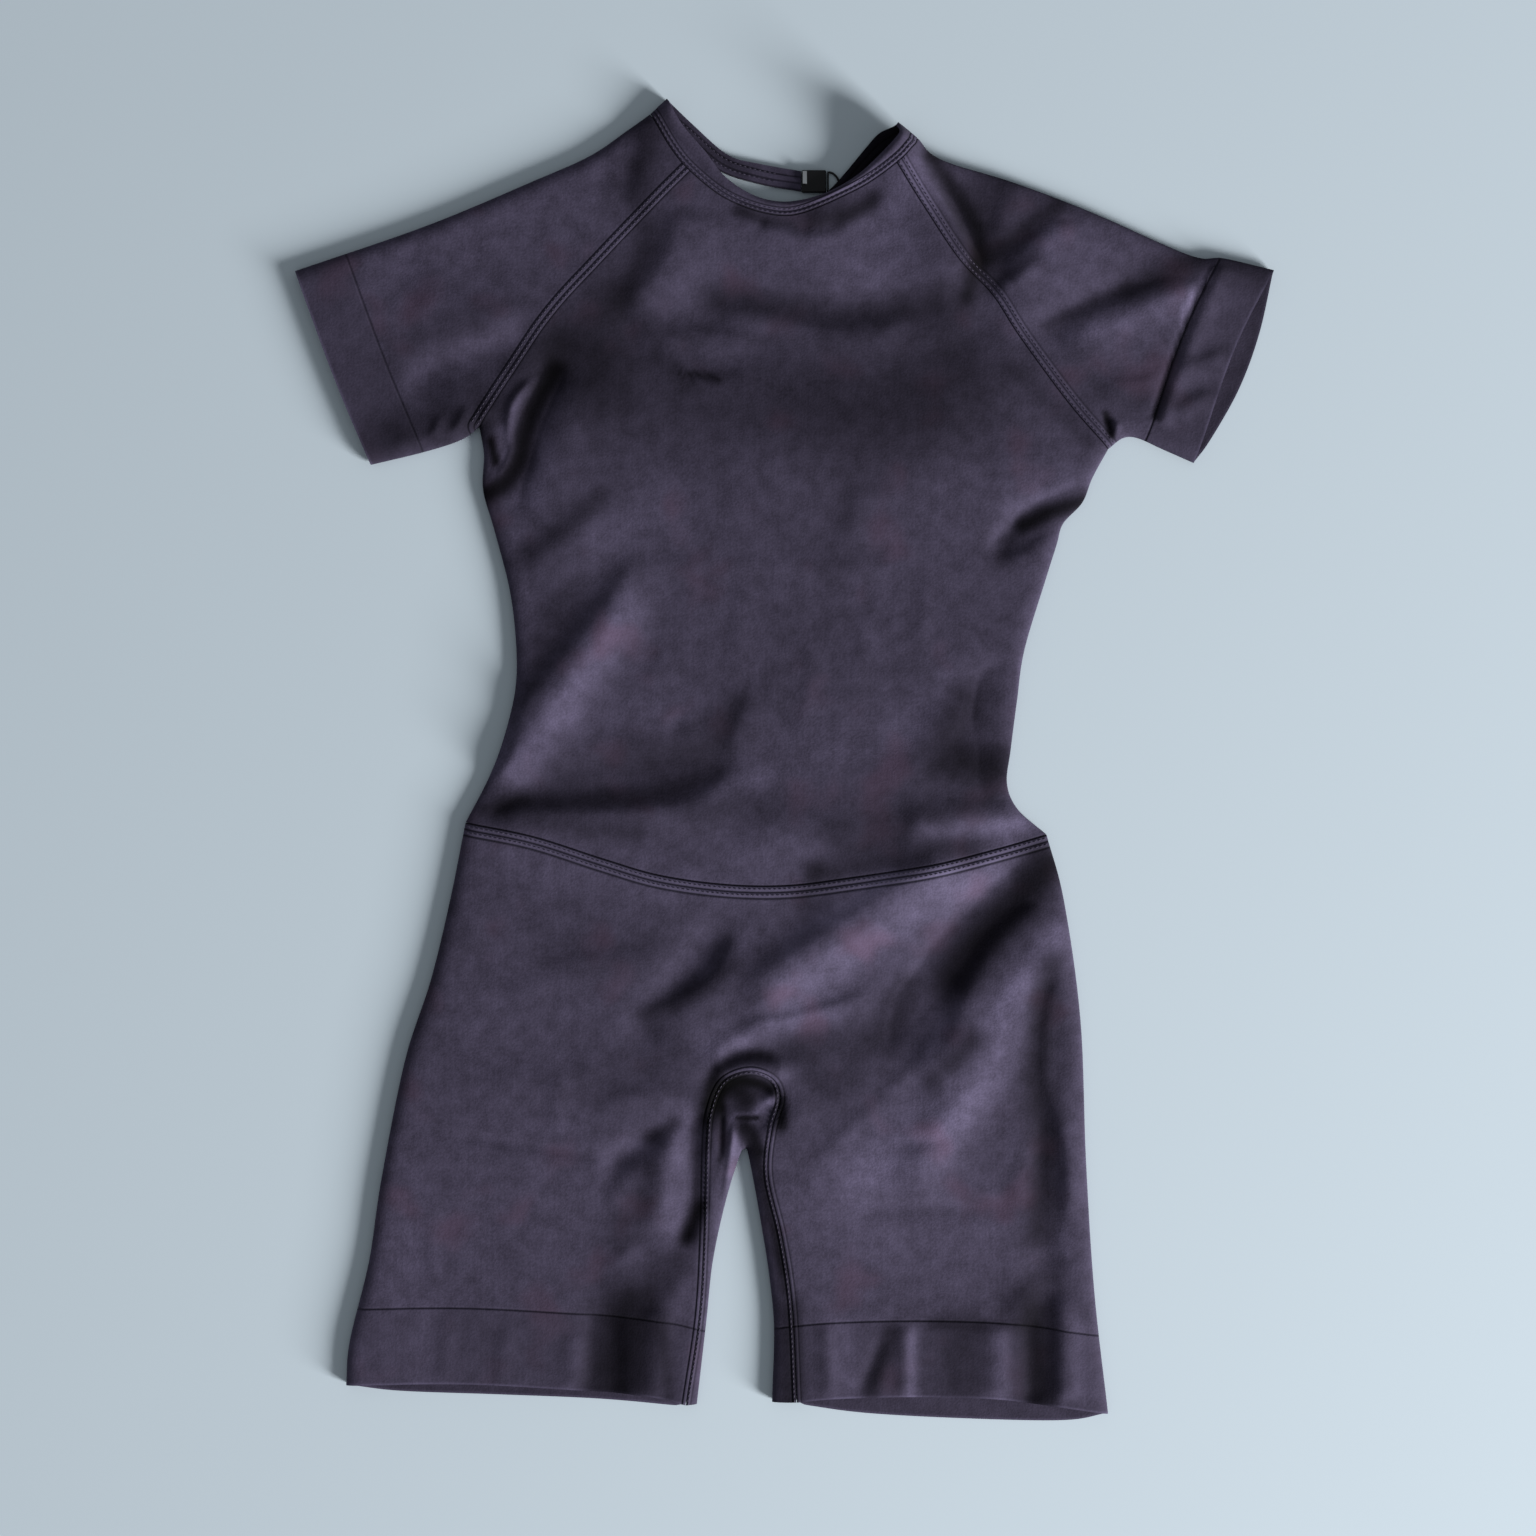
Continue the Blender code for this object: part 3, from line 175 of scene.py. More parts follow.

# %% [markdown]
# ## Creases
#
# Between the large folds the cloth has many shallow creases, and hardly two are alike. Each row
# below is one: a line that it follows, how far it spreads to its left and right, how high it is
# (troughs are negative) and how softly its ends run out. They are given one by one, because noise
# would spread them evenly, and cloth that somebody has laid out doesn't crease evenly.

# %% Creases of the front
CREASES = [
    # line, width to its left, to its right, height, share of it that runs out softly
    ([(34.5, 291), (15, 288), (-7, 293), (-27, 298.5)], 3, 3, -1.3, 0.3),
    ([(8.5, 295), (15, 285.5)], 2.5, 2.5, -0.5, 0.4),
    ([(20.5, 288), (31.5, 293)], 2.5, 2.5, -0.5, 0.4),
    ([(-10.5, 295.5), (-15.5, 285.5)], 2.5, 2.5, -0.6, 0.4),
    ([(-55, 302.5), (-59, 278), (-73.5, 255), (-90.5, 247.5)], 22, 9, 2.3, 0.2),
    ([(79.5, 238.5), (38.5, 231), (11, 233.5), (-13.5, 241), (-43.5, 242)], 13, 7, 2, 0.2),
    ([(-10.5, 226.5), (-39.5, 231), (-70.5, 232.5)], 6, 4, 0.9, 0.3),
    ([(-19, 212.5), (-43.5, 214.5), (-65.5, 223.5)], 5, 5, -1, 0.3),
    ([(-36, 205.5), (-46, 209.5), (-57, 210)], 2, 2, -1, 0.3),
    ([(117.5, 168), (63, 173.5), (-2.5, 171), (-57, 168)], 30, 24, 1.2, 0.3),
    ([(113, 250.5), (84.5, 234.5), (63, 226)], 10, 10, 1, 0.3),
    ([(-122.5, 213.5), (-134.5, 195), (-142, 176.5), (-144, 162.5), (-152, 151.5),
      (-161.5, 145.5)], 5, 3, -3, 0.12),
    ([(-106, 211.5), (-119, 182.5), (-129, 158), (-148.5, 137.5)], 26, 14, 0.9, 0.2),
    ([(-133.5, 209.5), (-146.5, 195), (-149.5, 180), (-148, 168), (-153.5, 156),
      (-160.5, 149.5)], 2.6, 3, 2, 0.15),
    ([(-98.5, 137.5), (-122.5, 117), (-144, 101.5)], 16, 7, 1.2, 0.3),
    ([(-73.5, 113.5), (-98, 80.5), (-122.5, 50), (-150.5, 16.5)], 14, 8, 2.4, 0.2),
    ([(-27, -4.5), (-41.5, -19.5), (-73.5, -28), (-122.5, -29), (-164, -30)], 13, 5, 2, 0.15),
    ([(-79, -6.5), (-122.5, -10)], 8, 8, -0.8, 0.4),
    ([(-52.5, 25), (-65.5, 13)], 6, 4, -0.9, 0.4),
    ([(-15.5, 38), (-23, 22), (-31, -1)], 12, 5, 1, 0.3),
    ([(-57, 60), (-79, 38)], 9, 6, 0.7, 0.4),
    ([(79.5, 101.5), (-13.5, 105.5), (-95, 102.5)], 4, 5, 0.5, 0.2),
    ([(46.5, 152.5), (29, 109)], 8, 7, 0.6, 0.4),
    ([(-21.5, 109), (-27, 38)], 5, 5, 0.3, 0.3),
    ([(16.5, 71), (8.5, 0)], 5, 5, 0.35, 0.3),
    ([(80.5, 109), (71, 54.5)], 5, 5, 0.35, 0.3),
    ([(45.5, 87), (37, 22)], 6, 5, 0.3, 0.3),
    ([(118.5, 48), (102, 22), (87.5, -1)], 8, 7, -1.2, 0.3),
    ([(95.5, 38), (71, 0), (52, -22)], 14, 10, 1.2, 0.3),
    ([(135, -25), (98.5, -29.5), (60, -34)], 8, 9, 1.9, 0.2),
    ([(52, -34), (3, -41.5), (-35, -42.5)], 12, 12, 1, 0.3),
    ([(130.5, 65.5), (125, 32.5), (120.5, -5.5)], 2.5, 2.5, 0.5, 0.3),
    ([(161, 135), (142, 128), (123, 114.5)], 9, 4, 1.8, 0.45),
    ([(164.5, 141.5), (139, 137), (117.5, 125.5)], 4, 7, -1.4, 0.25),
    ([(146, 146), (124, 161.5)], 4, 4, -0.7, 0.4),
    ([(-129, 233.5), (-155, 223.5), (-183.5, 214.5), (-210.5, 202.5)], 14, 10, -2.2, 0.2),
    ([(-122.5, 253), (-166, 241), (-198.5, 229)], 12, 16, 1, 0.3),
    ([(-160.5, 183), (-193, 176.5), (-220.5, 168)], 8, 16, 1.6, 0.3),
    ([(-82, 347.5), (-84, 327), (-88.5, 303)], 6, 6, -1.2, 0.3),
    ([(-96, 327), (-98.5, 307.5)], 5, 5, -0.8, 0.4),
    ([(-184.5, 189.5), (-193, 172)], 3.5, 3, 0.9, 0.4),
    ([(-170.5, 194), (-181, 173.5)], 3.5, 3, 1, 0.4),
    ([(-159.5, 195), (-169, 176.5)], 3, 3, 0.8, 0.4),
    ([(-203, 280), (-205, 268)], 4, 4, -0.6, 0.4),
    ([(153.5, 298.5), (136, 281), (116.5, 264)], 16, 5, 1.9, 0.2),
    ([(139, 271.5), (123, 259.5), (112, 259.5)], 5, 4, 0.9, 0.3),
    ([(229, 272), (216.5, 264.5), (191.5, 252), (166.5, 241), (144.5, 233.5)], 14, 5, 1.9, 0.25),
    ([(207, 207), (188.5, 204), (170, 204)], 8, 4, 0.8, 0.3),
    ([(241.5, 222.5), (224.5, 214.5), (210, 207)], 8, 4, 1, 0.3),
    ([(235, 199.5), (221, 194), (211, 185.5)], 6, 4, 0.9, 0.3),
    ([(233, 270.5), (221.5, 244), (210.5, 216), (199.5, 184)], 2.4, 1.8, -1.3, 0.05),
    ([(238.5, 270.5), (227, 242), (216, 213.5), (204.5, 180)], 5, 3, 1, 0.05),
    ([(175, 188.5), (177, 175.5)], 2.2, 2.2, -2.2, 0.3),
    ([(181, 184), (179, 175)], 2.2, 2, 1.3, 0.3),
    ([(100, -53.5), (64, -68.5), (30, -91.5), (-4.5, -113.5), (-26.5, -126.5)], 16, 8, 2, 0.15),
    ([(25, -62), (11.5, -84.5), (-11, -104.5)], 8, 9, -1, 0.3),
    ([(54, -125.5), (8.5, -139.5), (-29.5, -145)], 11, 4, 1.4, 0.25),
    ([(139, -58), (117.5, -67.5), (88, -96), (69.5, -123), (52, -137.5)], 8, 9, -1.6, 0.15),
    ([(146, -74), (118.5, -97), (101, -125.5), (91.5, -152.5), (69.5, -176.5)], 12, 7, 2.4, 0.12),
    ([(75, -100.5), (61, -125.5), (50, -158)], 5, 4, 0.7, 0.3),
    ([(90, -140.5), (69.5, -167), (52, -185.5)], 5, 4, 0.7, 0.3),
    ([(65.5, -131), (55, -158)], 4, 4, -0.6, 0.4),
    ([(63, -180), (39, -197.5), (14, -222.5)], 6, 5, 0.6, 0.3),
    ([(-24.5, -92.5), (-36, -115.5), (-57, -131), (-81, -141.5)], 12, 5, 2, 0.2),
    ([(-51.5, -107), (-89.5, -109), (-133.5, -112.5)], 10, 6, 0.8, 0.3),
    ([(-122.5, -122.5), (-155, -128)], 9, 6, 0.6, 0.4),
    ([(-166, -76.5), (-171.5, -109)], 7, 7, 0.6, 0.3),
    ([(-89.5, -163.5), (-122.5, -174.5), (-171.5, -171.5)], 10, 8, 0.7, 0.3),
    ([(-51.5, -180), (-79, -183), (-106, -191)], 6, 6, 0.8, 0.3),
    ([(9.5, -165.5), (-5, -159.5), (-21, -158), (-37, -167), (-44, -184)], 5, 5, -1.5, 0.2),
    ([(-4.5, -144), (-28.5, -152.5), (-46, -170)], 6, 6, 1, 0.3),
    ([(-46, -185.5), (-47, -212.5), (-47, -240), (-56.5, -266)], 3.5, 7, -2.2, 0.15),
    ([(-59, -186.5), (-65.5, -223.5), (-72, -261.5)], 7, 8, 1.6, 0.2),
    ([(-51.5, -198.5), (-79, -217), (-97.5, -248.5)], 9, 5, 0.9, 0.2),
    ([(-79, -261.5), (-97.5, -278)], 6, 5, 0.8, 0.4),
    ([(11.5, -180), (6.5, -201.5)], 6, 5, 0.8, 0.4),
    ([(-3, -180.5), (-10, -185), (-15, -192)], 4, 3, 1.5, 0.2),
    ([(-26, -195.5), (-14.5, -195)], 1.5, 1.5, -1.5, 0.1),
    ([(-27.5, -195), (-29.5, -218), (-33, -242)], 2.4, 2.2, 1.3, 0.2),
    ([(-34, -191), (-34.5, -217)], 1.6, 1.8, -1, 0.2),
    ([(-2.5, -180), (-2.5, -197.5)], 1.8, 1.8, -1.2, 0.2),
    ([(-90.5, -218.5), (-148, -208.5), (-190.5, -202.5)], 3, 3, -0.8, 0.2),
    ([(98, -205), (57, -210.5)], 3, 4, -0.7, 0.4),
    ([(151, -242), (95.5, -244), (25, -240)], 5, 4, -0.6, 0.3),
    ([(152.5, -109), (144.5, -136), (143, -174.5), (153.5, -212.5), (154.5, -257)], 8, 4, 1.7, 0.15),
    ([(134, -188.5), (128.5, -229), (120.5, -256)], 6, 6, 0.6, 0.3),
    ([(150, -272.5), (128.5, -294.5), (117.5, -304)], 7, 6, 0.9, 0.3),
    ([(-190, -229), (-191, -294.5)], 4, 4, 0.35, 0.3),
    ([(-122.5, -163.5), (-124.5, -207)], 5, 4, 0.5, 0.4),
    ([(-51.5, -273.5), (-63.5, -294.5), (-79, -310.5)], 8, 6, 0.9, 0.3),
    ([(-182.5, -300), (-185.5, -341)], 4, 4, 0.5, 0.2),
    ([(-149.5, -305), (-155, -342.5)], 5, 4, 0.5, 0.2),
    ([(-112.5, -310.5), (-114.5, -342.5)], 4, 6, 0.8, 0.15),
    ([(-100.5, -298.5), (-105, -343.5)], 14, 5, -1.6, 0.1),
    ([(-65.5, -297.5), (-70, -347.5)], 4, 9, 1.4, 0.1),
    ([(22.5, -306.5), (25, -346.5)], 3.5, 6, 1, 0.1),
    ([(54, -313), (41, -344.5)], 4, 4, -1.1, 0.2),
    ([(65.5, -306.5), (65.5, -345.5)], 3.5, 5, 1.1, 0.1),
    ([(117.5, -306.5), (118.5, -346.5)], 3.5, 12, 1.3, 0.1),
    ([(132.5, -304), (134, -350)], 5, 5, -1.4, 0.1),
    ([(151, -289), (152.5, -351)], 7, 6, 1.6, 0.15),
]

# %% Creases of the back, guessed like those in front
BACK_SOFT_ENDS, BACK_REACH, DEEPEST_HOLLOW = 0.3, 22.0, 0.7
BACK_CREASES = [
    # hollows under the lower layer: line, width to its left and to its right, depth
    ([(-150, 150), (-128, 120), (-108, 70)], 5, 9, 0.6),
    ([(148, 90), (122, 60), (108, 20)], 8, 4, 0.7),
    ([(-152, 0), (-110, -14), (-64, -12)], 4, 8, 0.6),
    ([(118, -6), (84, -20), (40, -26)], 7, 4, 0.5),
    ([(-170, -70), (-120, -96), (-60, -110), (-10, -104)], 9, 5, 0.7),
    ([(146, -74), (104, -104), (72, -150)], 6, 11, 0.7),
    ([(134, -110), (110, -160), (92, -212)], 4, 7, 0.6),
    ([(-90, -120), (-70, -152), (-48, -172)], 7, 5, 0.7),
    ([(-200, -200), (-150, -214), (-96, -208)], 4, 6, 0.5),
    ([(40, -180), (80, -196), (124, -194)], 6, 4, 0.5),
    ([(-110, -300), (-104, -336)], 5, 8, 0.6),
    ([(60, -304), (66, -346)], 7, 4, 0.6),
    ([(136, -250), (140, -300), (144, -340)], 5, 5, 0.7),
    ([(-196, 262), (-170, 240), (-148, 214)], 5, 9, 0.7),
    ([(214, 250), (176, 232), (150, 212)], 9, 5, 0.7),
    ([(-110, 300), (-104, 272)], 5, 5, 0.5),
    ([(112, 296), (118, 268)], 4, 6, 0.5),
]
print(len(CREASES), "creases on the front,", len(BACK_CREASES), "on the back")

# %% [markdown]
# Light and shade are painted into the cloth's colour as well: deeper in hollows, creases and under
# raised edges, paler on the flanks of folds that face the light. These painted shades lie along
# short lines, as a factor on the yarn's colour.

# %% Painted light and shade of the front
PAINTED_LIGHT_AND_SHADE = [
    # line, width to either side, factor on the yarn's colour: painted shade below 1, painted light
    # above 1
    ([(112, 250.5), (95.5, 196), (25, 200.5), (-46, 196), (-106, 218)], 28, 0.6),
    ([(84.5, 223.5), (63, 180), (25, 182.5)], 26, 0.68),
    ([(-93, 250.5), (-100.5, 196)], 14, 0.68),
    ([(42, 147), (26, 109)], 13, 0.78),
    ([(82, 248.5), (35.5, 242), (3, 245.5), (-38, 250.5)], 9, 0.46),
    ([(16.5, 232.5), (-24.5, 235.5)], 4, 1.3),
    ([(-21.5, 217), (-43.5, 222.5)], 5, 1.25),
    ([(-46, 233.5), (-74.5, 234.5)], 6, 0.72),
    ([(-50.5, 204), (-68, 220)], 7, 0.72),
    ([(-94, 212.5), (-90.5, 169)], 20, 0.84),
    ([(-70, 342.5), (-79, 310.5), (-74.5, 280), (-90.5, 247.5)], 7, 0.55),
    ([(-79, 278), (-90.5, 250.5)], 12, 0.72),
    ([(47.5, 303), (35.5, 294.5), (16.5, 290), (-2.5, 293), (-23, 298.5)], 4, 0.42),
    ([(-11, 292.5), (-26.5, 297.5)], 3, 0.6),
    ([(49, 305), (31.5, 297.5), (15, 295)], 6, 0.36),
    ([(-68, 346), (-63.5, 310.5)], 9, 0.8),
    ([(-99.5, 257), (-106, 229)], 10, 0.75),
    ([(-36, 206), (-46, 209.5), (-56.5, 209.5)], 1.8, 0.3),
    ([(-123.5, 234.5), (-111.5, 207)], 16, 0.75),
    ([(-121.5, 224.5), (-144, 204), (-164, 183)], 8, 0.5),
    ([(-124.5, 211.5), (-134.5, 195), (-141, 177.5), (-144, 163.5), (-151, 152),
      (-160.5, 145)], 5.6, 0.07),
    ([(-159.5, 173.5), (-157, 162)], 2.2, 0.06),
    ([(-134.5, 207), (-146.5, 194), (-154, 186.5)], 6, 1.45),
    ([(-153, 181), (-150.5, 168), (-156.5, 156), (-162, 150)], 1.9, 1.9),
    ([(-129.5, 165.5), (-137.5, 141.5)], 7, 1.5),
    ([(-122.5, 231), (-148.5, 216)], 9, 0.55),
    ([(-168, 180), (-188, 173.5)], 7, 0.6),
    ([(-160.5, 240), (-193, 231), (-209.5, 218)], 9, 0.78),
    ([(-101.5, 141.5), (-122.5, 124.5), (-144, 108)], 8, 0.55),
    ([(52, 305), (41, 267), (19.5, 278)], 20, 1.45),
    ([(-13.5, 278), (-51.5, 267)], 18, 1.15),
    ([(-68, 136), (-100.5, 125.5)], 18, 1.3),
    ([(-89.5, 84.5), (-114, 43.5), (-148.5, -1)], 12, 1.75),
    ([(-122.5, -8), (-84, 1.5), (-46, 3.5), (-26.5, 30.5)], 9, 0.58),
    ([(-162.5, -28.5), (-122.5, -36), (-79, -39)], 6, 0.62),
    ([(-122.5, 20.5), (-57, 31)], 8, 1.2),
    ([(-51.5, -18.5), (-15.5, -12)], 5, 1.3),
    ([(-122.5, 82), (-141.5, 38)], 12, 0.62),
    ([(-38, -8.5), (-79, -19.5), (-155, -23)], 6, 0.4),
    ([(-79, -5.5), (-35, 11)], 12, 0.75),
    ([(99, 32.5), (91.5, 8.5), (112, -4.5)], 12, 0.38),
    ([(82.5, -4.5), (118.5, 0)], 9, 0.5),
    ([(118.5, -19.5), (120.5, -37)], 8, 1.4),
    ([(90, 32.5), (63, 13.5)], 10, 1.2),
    ([(90, 44.5), (69.5, 12), (57.5, -6.5)], 9, 1.4),
    ([(30, -38), (74, -34), (115.5, -17.5)], 12, 0.62),
    ([(16.5, -61), (63, -54.5), (101, -49)], 6, 0.5),
    ([(30, -47), (90, -44.5)], 4, 0.8),
    ([(16.5, -59), (10.5, -79)], 6, 0.62),
    ([(84.5, -58), (47.5, -71), (27, -85)], 9, 1.55),
    ([(120.5, -49), (99, -65.5)], 9, 1.3),
    ([(-51.5, -26), (3, -27.5)], 9, 0.7),
    ([(-141, -22), (-162.5, -28)], 4, 0.5),
    ([(-8, -6), (-44, -14)], 5, 1.35),
    ([(15, 65.5), (-12.5, 30.5)], 18, 0.86),
    ([(-144, 84), (-144, 38)], 6, 1.3),
    ([(79.5, 22), (63, -22)], 16, 0.78),
    ([(136.5, -34), (106.5, -36), (74, -39)], 6, 1.8),
    ([(8.5, -43.5), (-24.5, -49)], 14, 1.25),
    ([(63, 22), (30, 11)], 14, 1.2),
    ([(162.5, 140.5), (144.5, 135), (129.5, 127.5)], 4.2, 0.14),
    ([(140.5, 134), (125, 122), (117.5, 111)], 5, 0.55),
    ([(150, 152.5), (123, 141.5)], 10, 1.45),
    ([(95.5, 141.5), (63, 120)], 26, 1.12),
    ([(-138.5, 231.5), (-182.5, 222.5), (-204, 211.5)], 8, 1.35),
    ([(-166, 193.5), (-193, 182), (-220.5, 173.5)], 14, 0.5),
    ([(-166, 231.5), (-209.5, 211.5)], 11, 0.78),
    ([(-106, 310.5), (-166, 289), (-209.5, 267)], 20, 1.15),
    ([(-79, 349), (-87, 310.5)], 10, 0.65),
    ([(-155, 283.5), (-198.5, 261.5)], 25, 1.08),
    ([(80, 327), (89, 313), (100, 297.5), (106, 282.5), (103.5, 267), (99, 252)], 5, 0.2),
    ([(61, 310.5), (71, 271.5)], 17, 1.35),
    ([(68.5, 323.5), (76, 304), (87, 283.5)], 4, 1.3),
    ([(117.5, 310.5), (98.5, 289)], 16, 0.5),
    ([(149, 288), (127.5, 264), (117.5, 248.5)], 8, 1.6),
    ([(108.5, 247.5), (111, 225.5), (126, 231)], 13, 1.35),
    ([(148, 301), (124, 283.5), (108.5, 270.5)], 6, 0.3),
    ([(144.5, 284.5), (129.5, 272.5), (119.5, 262.5)], 6, 1.5),
    ([(135, 273.5), (113, 260.5)], 5, 0.45),
    ([(172, 283.5), (144.5, 256), (123, 242.5)], 16, 1.35),
    ([(225, 271.5), (204.5, 262.5), (189.5, 256)], 8, 0.34),
    ([(167.5, 235.5), (148, 225.5)], 5, 1.4),
    ([(223, 245.5), (211, 204)], 4, 1.35),
    ([(183, 256), (161, 246.5), (142.5, 236.5)], 3.4, 0.55),
    ([(221, 253), (188.5, 241), (155.5, 230)], 6, 1.4),
    ([(218.5, 250.5), (183, 234.5)], 12, 1.4),
    ([(227.5, 256), (219, 238.5), (209, 212.5), (200.5, 186.5)], 1.9, 0.32),
    ([(230.5, 271), (221, 252), (214.5, 234.5)], 2.4, 1.5),
    ([(239.5, 222.5), (219, 217)], 4, 0.72),
    ([(233, 199.5), (215.5, 194.5)], 5, 0.66),
    ([(240, 256), (221, 207)], 10, 1.05),
    ([(199, 196), (166.5, 198.5)], 9, 0.72),
    ([(122, 213.5), (149, 191), (166.5, 173.5)], 6, 0.7),
    ([(174.5, 187.5), (177.5, 176)], 2, 0.12),
    ([(240.5, 267), (260, 264)], 8, 0.55),
    ([(112, -64.5), (79.5, -76.5), (46.5, -101), (3, -121)], 14, 1.75),
    ([(25, -135), (-8, -145), (-39.5, -155)], 9, 1.8),
    ([(54, -65.5), (25, -84.5), (2, -101.5)], 8, 1.6),
    ([(143, -56.5), (128.5, -74.5), (109.5, -93.5), (91.5, -117)], 11, 0.16),
    ([(147, -93.5), (126, -120), (112, -143)], 7, 1.7),
    ([(67.5, -122.5), (57.5, -158)], 6, 0.58),
    ([(96.5, -131), (74, -161.5)], 6, 1.5),
    ([(101, -152.5), (79.5, -175.5)], 6, 0.45),
    ([(52, -148), (3, -156)], 8, 0.72),
    ([(143.5, -103.5), (123, -136), (112, -169), (90, -201.5)], 12, 1.7),
    ([(58.5, -131), (42, -161.5), (26, -180)], 9, 0.7),
    ([(142.5, -109), (139, -141.5), (137.5, -180), (141, -212.5), (137, -258.5)], 8, 0.32),
    ([(151, -201.5), (152, -267)], 4, 1.5),
    ([(87, -180), (63, -207), (39, -226.5)], 20, 1.6),
    ([(8.5, -256), (106.5, -261.5)], 26, 1.2),
    ([(117.5, -201.5), (117.5, -240)], 14, 1.05),
    ([(79.5, -253.5), (30, -264.5)], 44, 1.16),
    ([(80.5, -212.5), (52, -221.5)], 14, 1.35),
    ([(-29.5, -110), (-46, -124.5), (-76, -138.5)], 6, 0.46),
    ([(-17.5, -96), (-29.5, -106.5), (-44, -116.5)], 5, 1.4),
    ([(-79, -103.5), (-122.5, -109)], 12, 0.78),
    ([(-100.5, -180), (-68, -163.5)], 16, 0.75),
    ([(-41.5, -185.5), (-39.5, -174), (-31.5, -165), (-19, -161), (-9, -161.5)], 3.4, 0.34),
    ([(-10.5, -156), (8.5, -159.5), (16.5, -169)], 8, 0.72),
    ([(-31.5, -170.5), (-21.5, -168), (-13.5, -169), (-5, -174.5)], 1.6, 2),
    ([(-37, -187.5), (-34, -179), (-26.5, -174), (-17.5, -174.5), (-9, -178), (-3, -183),
      (-2, -189.5), (-2, -198.5)], 3.3, 0.07),
    ([(-39.5, -192), (-36, -180), (-26.5, -179.5), (-20, -185)], 7.2, 0.13),
    ([(-43, -187.5), (-41.5, -210.5)], 2.6, 0.45),
    ([(-77.5, -212.5), (-86.5, -226.5)], 6, 1.4),
    ([(-5, -183), (-10, -186), (-14.5, -189.5)], 4.2, 3.4),
    ([(-25.5, -194.5), (-15, -194.5)], 1.2, 0.15),
    ([(-26.5, -192.5), (-15, -192)], 1, 1.8),
    ([(-25, -197.5), (-15, -196.5)], 1, 1.7),
    ([(-25, -198.5), (-19.5, -208), (-13.5, -220.5), (-9, -240), (-4, -261.5), (1, -289)], 3.2, 0.3),
    ([(-27.5, -196), (-28.5, -210.5), (-31, -224.5)], 3, 1.8),
    ([(-34, -189.5), (-34, -201.5), (-35, -217)], 2.2, 0.36),
    ([(-20.5, -198), (-16.5, -204.5), (-13, -212.5)], 3, 0.2),
    ([(-49.5, -201.5), (-47.5, -229), (-49, -245.5)], 3, 0.45),
    ([(-45, -242), (-49, -250), (-53.5, -259.5)], 3.4, 0.16),
    ([(-56, -191), (-61.5, -229), (-61.5, -259.5)], 7, 1.5),
    ([(-60, -197.5), (-73.5, -205)], 4, 0.5),
    ([(-73.5, -225.5), (-89.5, -258.5)], 9, 0.62),
    ([(-188, -76.5), (-204, -158)], 12, 0.8),
    ([(-208.5, -261.5), (-218.5, -338)], 18, 1.2),
    ([(-195.5, -303), (-198.5, -341)], 8, 1.3),
    ([(-233, -294.5), (-235.5, -340)], 6, 1.3),
    ([(-144, -56.5), (-79, -68.5), (-8, -70)], 13, 1.28),
    ([(-122.5, -136), (-166, -141.5)], 20, 1.15),
    ([(-122.5, -240), (-193, -240)], 42, 1.18),
    ([(-98.5, -201.5), (-133.5, -191)], 10, 1.12),
    ([(-86.5, -301), (-93, -343.5)], 18, 0.2),
    ([(4, -297.5), (4, -347.5)], 6, 0.28),
    ([(-4.5, -255), (-0.5, -278)], 3, 0.5),
    ([(-65.5, -305), (-63.5, -346.5)], 4, 0.45),
    ([(-114.5, -316), (-116, -340)], 4, 1.4),
    ([(-73.5, -289), (-51.5, -261.5)], 9, 0.62),
    ([(32, -308), (34.5, -344.5)], 6, 1.6),
    ([(57, -311.5), (47, -343.5)], 5, 0.42),
    ([(69.5, -310.5), (69.5, -344.5)], 4, 1.7),
    ([(95.5, -310.5), (94.5, -340)], 14, 0.55),
    ([(115.5, -310.5), (116.5, -344.5)], 4, 1.6),
    ([(135.5, -300), (137.5, -347.5)], 9, 0.22),
    ([(149, -294.5), (151, -349)], 3, 1.5),
    ([(79.5, -306.5), (137, -306.5)], 3, 0.55),
    ([(159, -310.5), (162, -346.5)], 7, 1.35),
    ([(139, -283.5), (123, -294.5)], 9, 0.6),
]
LOWER_PAINTED_SHADE = [
    # painted shade on the lower layer, where it shows inside the cuffs, hems and collar
    ([(263, 262), (254, 222), (240, 190), (228, 172)], 8, 0.60),
    ([(-215, -342), (-155, -344), (-90, -348)], 5, 0.80),
    ([(20, -352), (98, -355), (158, -357)], 8, 0.90),
    ([(60, 341), (46, 326), (32, 308)], 12, 0.12),
    ([(-62, 350), (-46, 334), (-22, 320)], 5, 0.50),
]
print(len(PAINTED_LIGHT_AND_SHADE) + len(LOWER_PAINTED_SHADE), "shades")

# %% [markdown]
# ## Curves
#
# A Catmull-Rom spline passes through every row of its table. `along` finds points at a share of a
# line's length, and `inset` shifts a line sideways, which keeps neighbouring panels 0.3 mm apart.

# %% Lines through tables
def spline(table):
    points = np.array(table, float)
    padded = np.vstack([2 * points[0] - points[1], points, 2 * points[-1] - points[-2]])
    places = np.linspace(0, 1, STEPS, endpoint=False)[:, None]
    line = []
    for a, b, c, d in zip(padded, padded[1:], padded[2:], padded[3:]):
        bend = (2 * a - 5 * b + 4 * c - d) * places ** 2 + (3 * b - a - 3 * c + d) * places ** 3
        line.append(b + 0.5 * ((c - a) * places + bend))
    return np.vstack(line + [points[-1:]])


def lengths_of(line):
    return np.concatenate([[0], np.cumsum(np.linalg.norm(np.diff(line, axis=0), axis=1))])


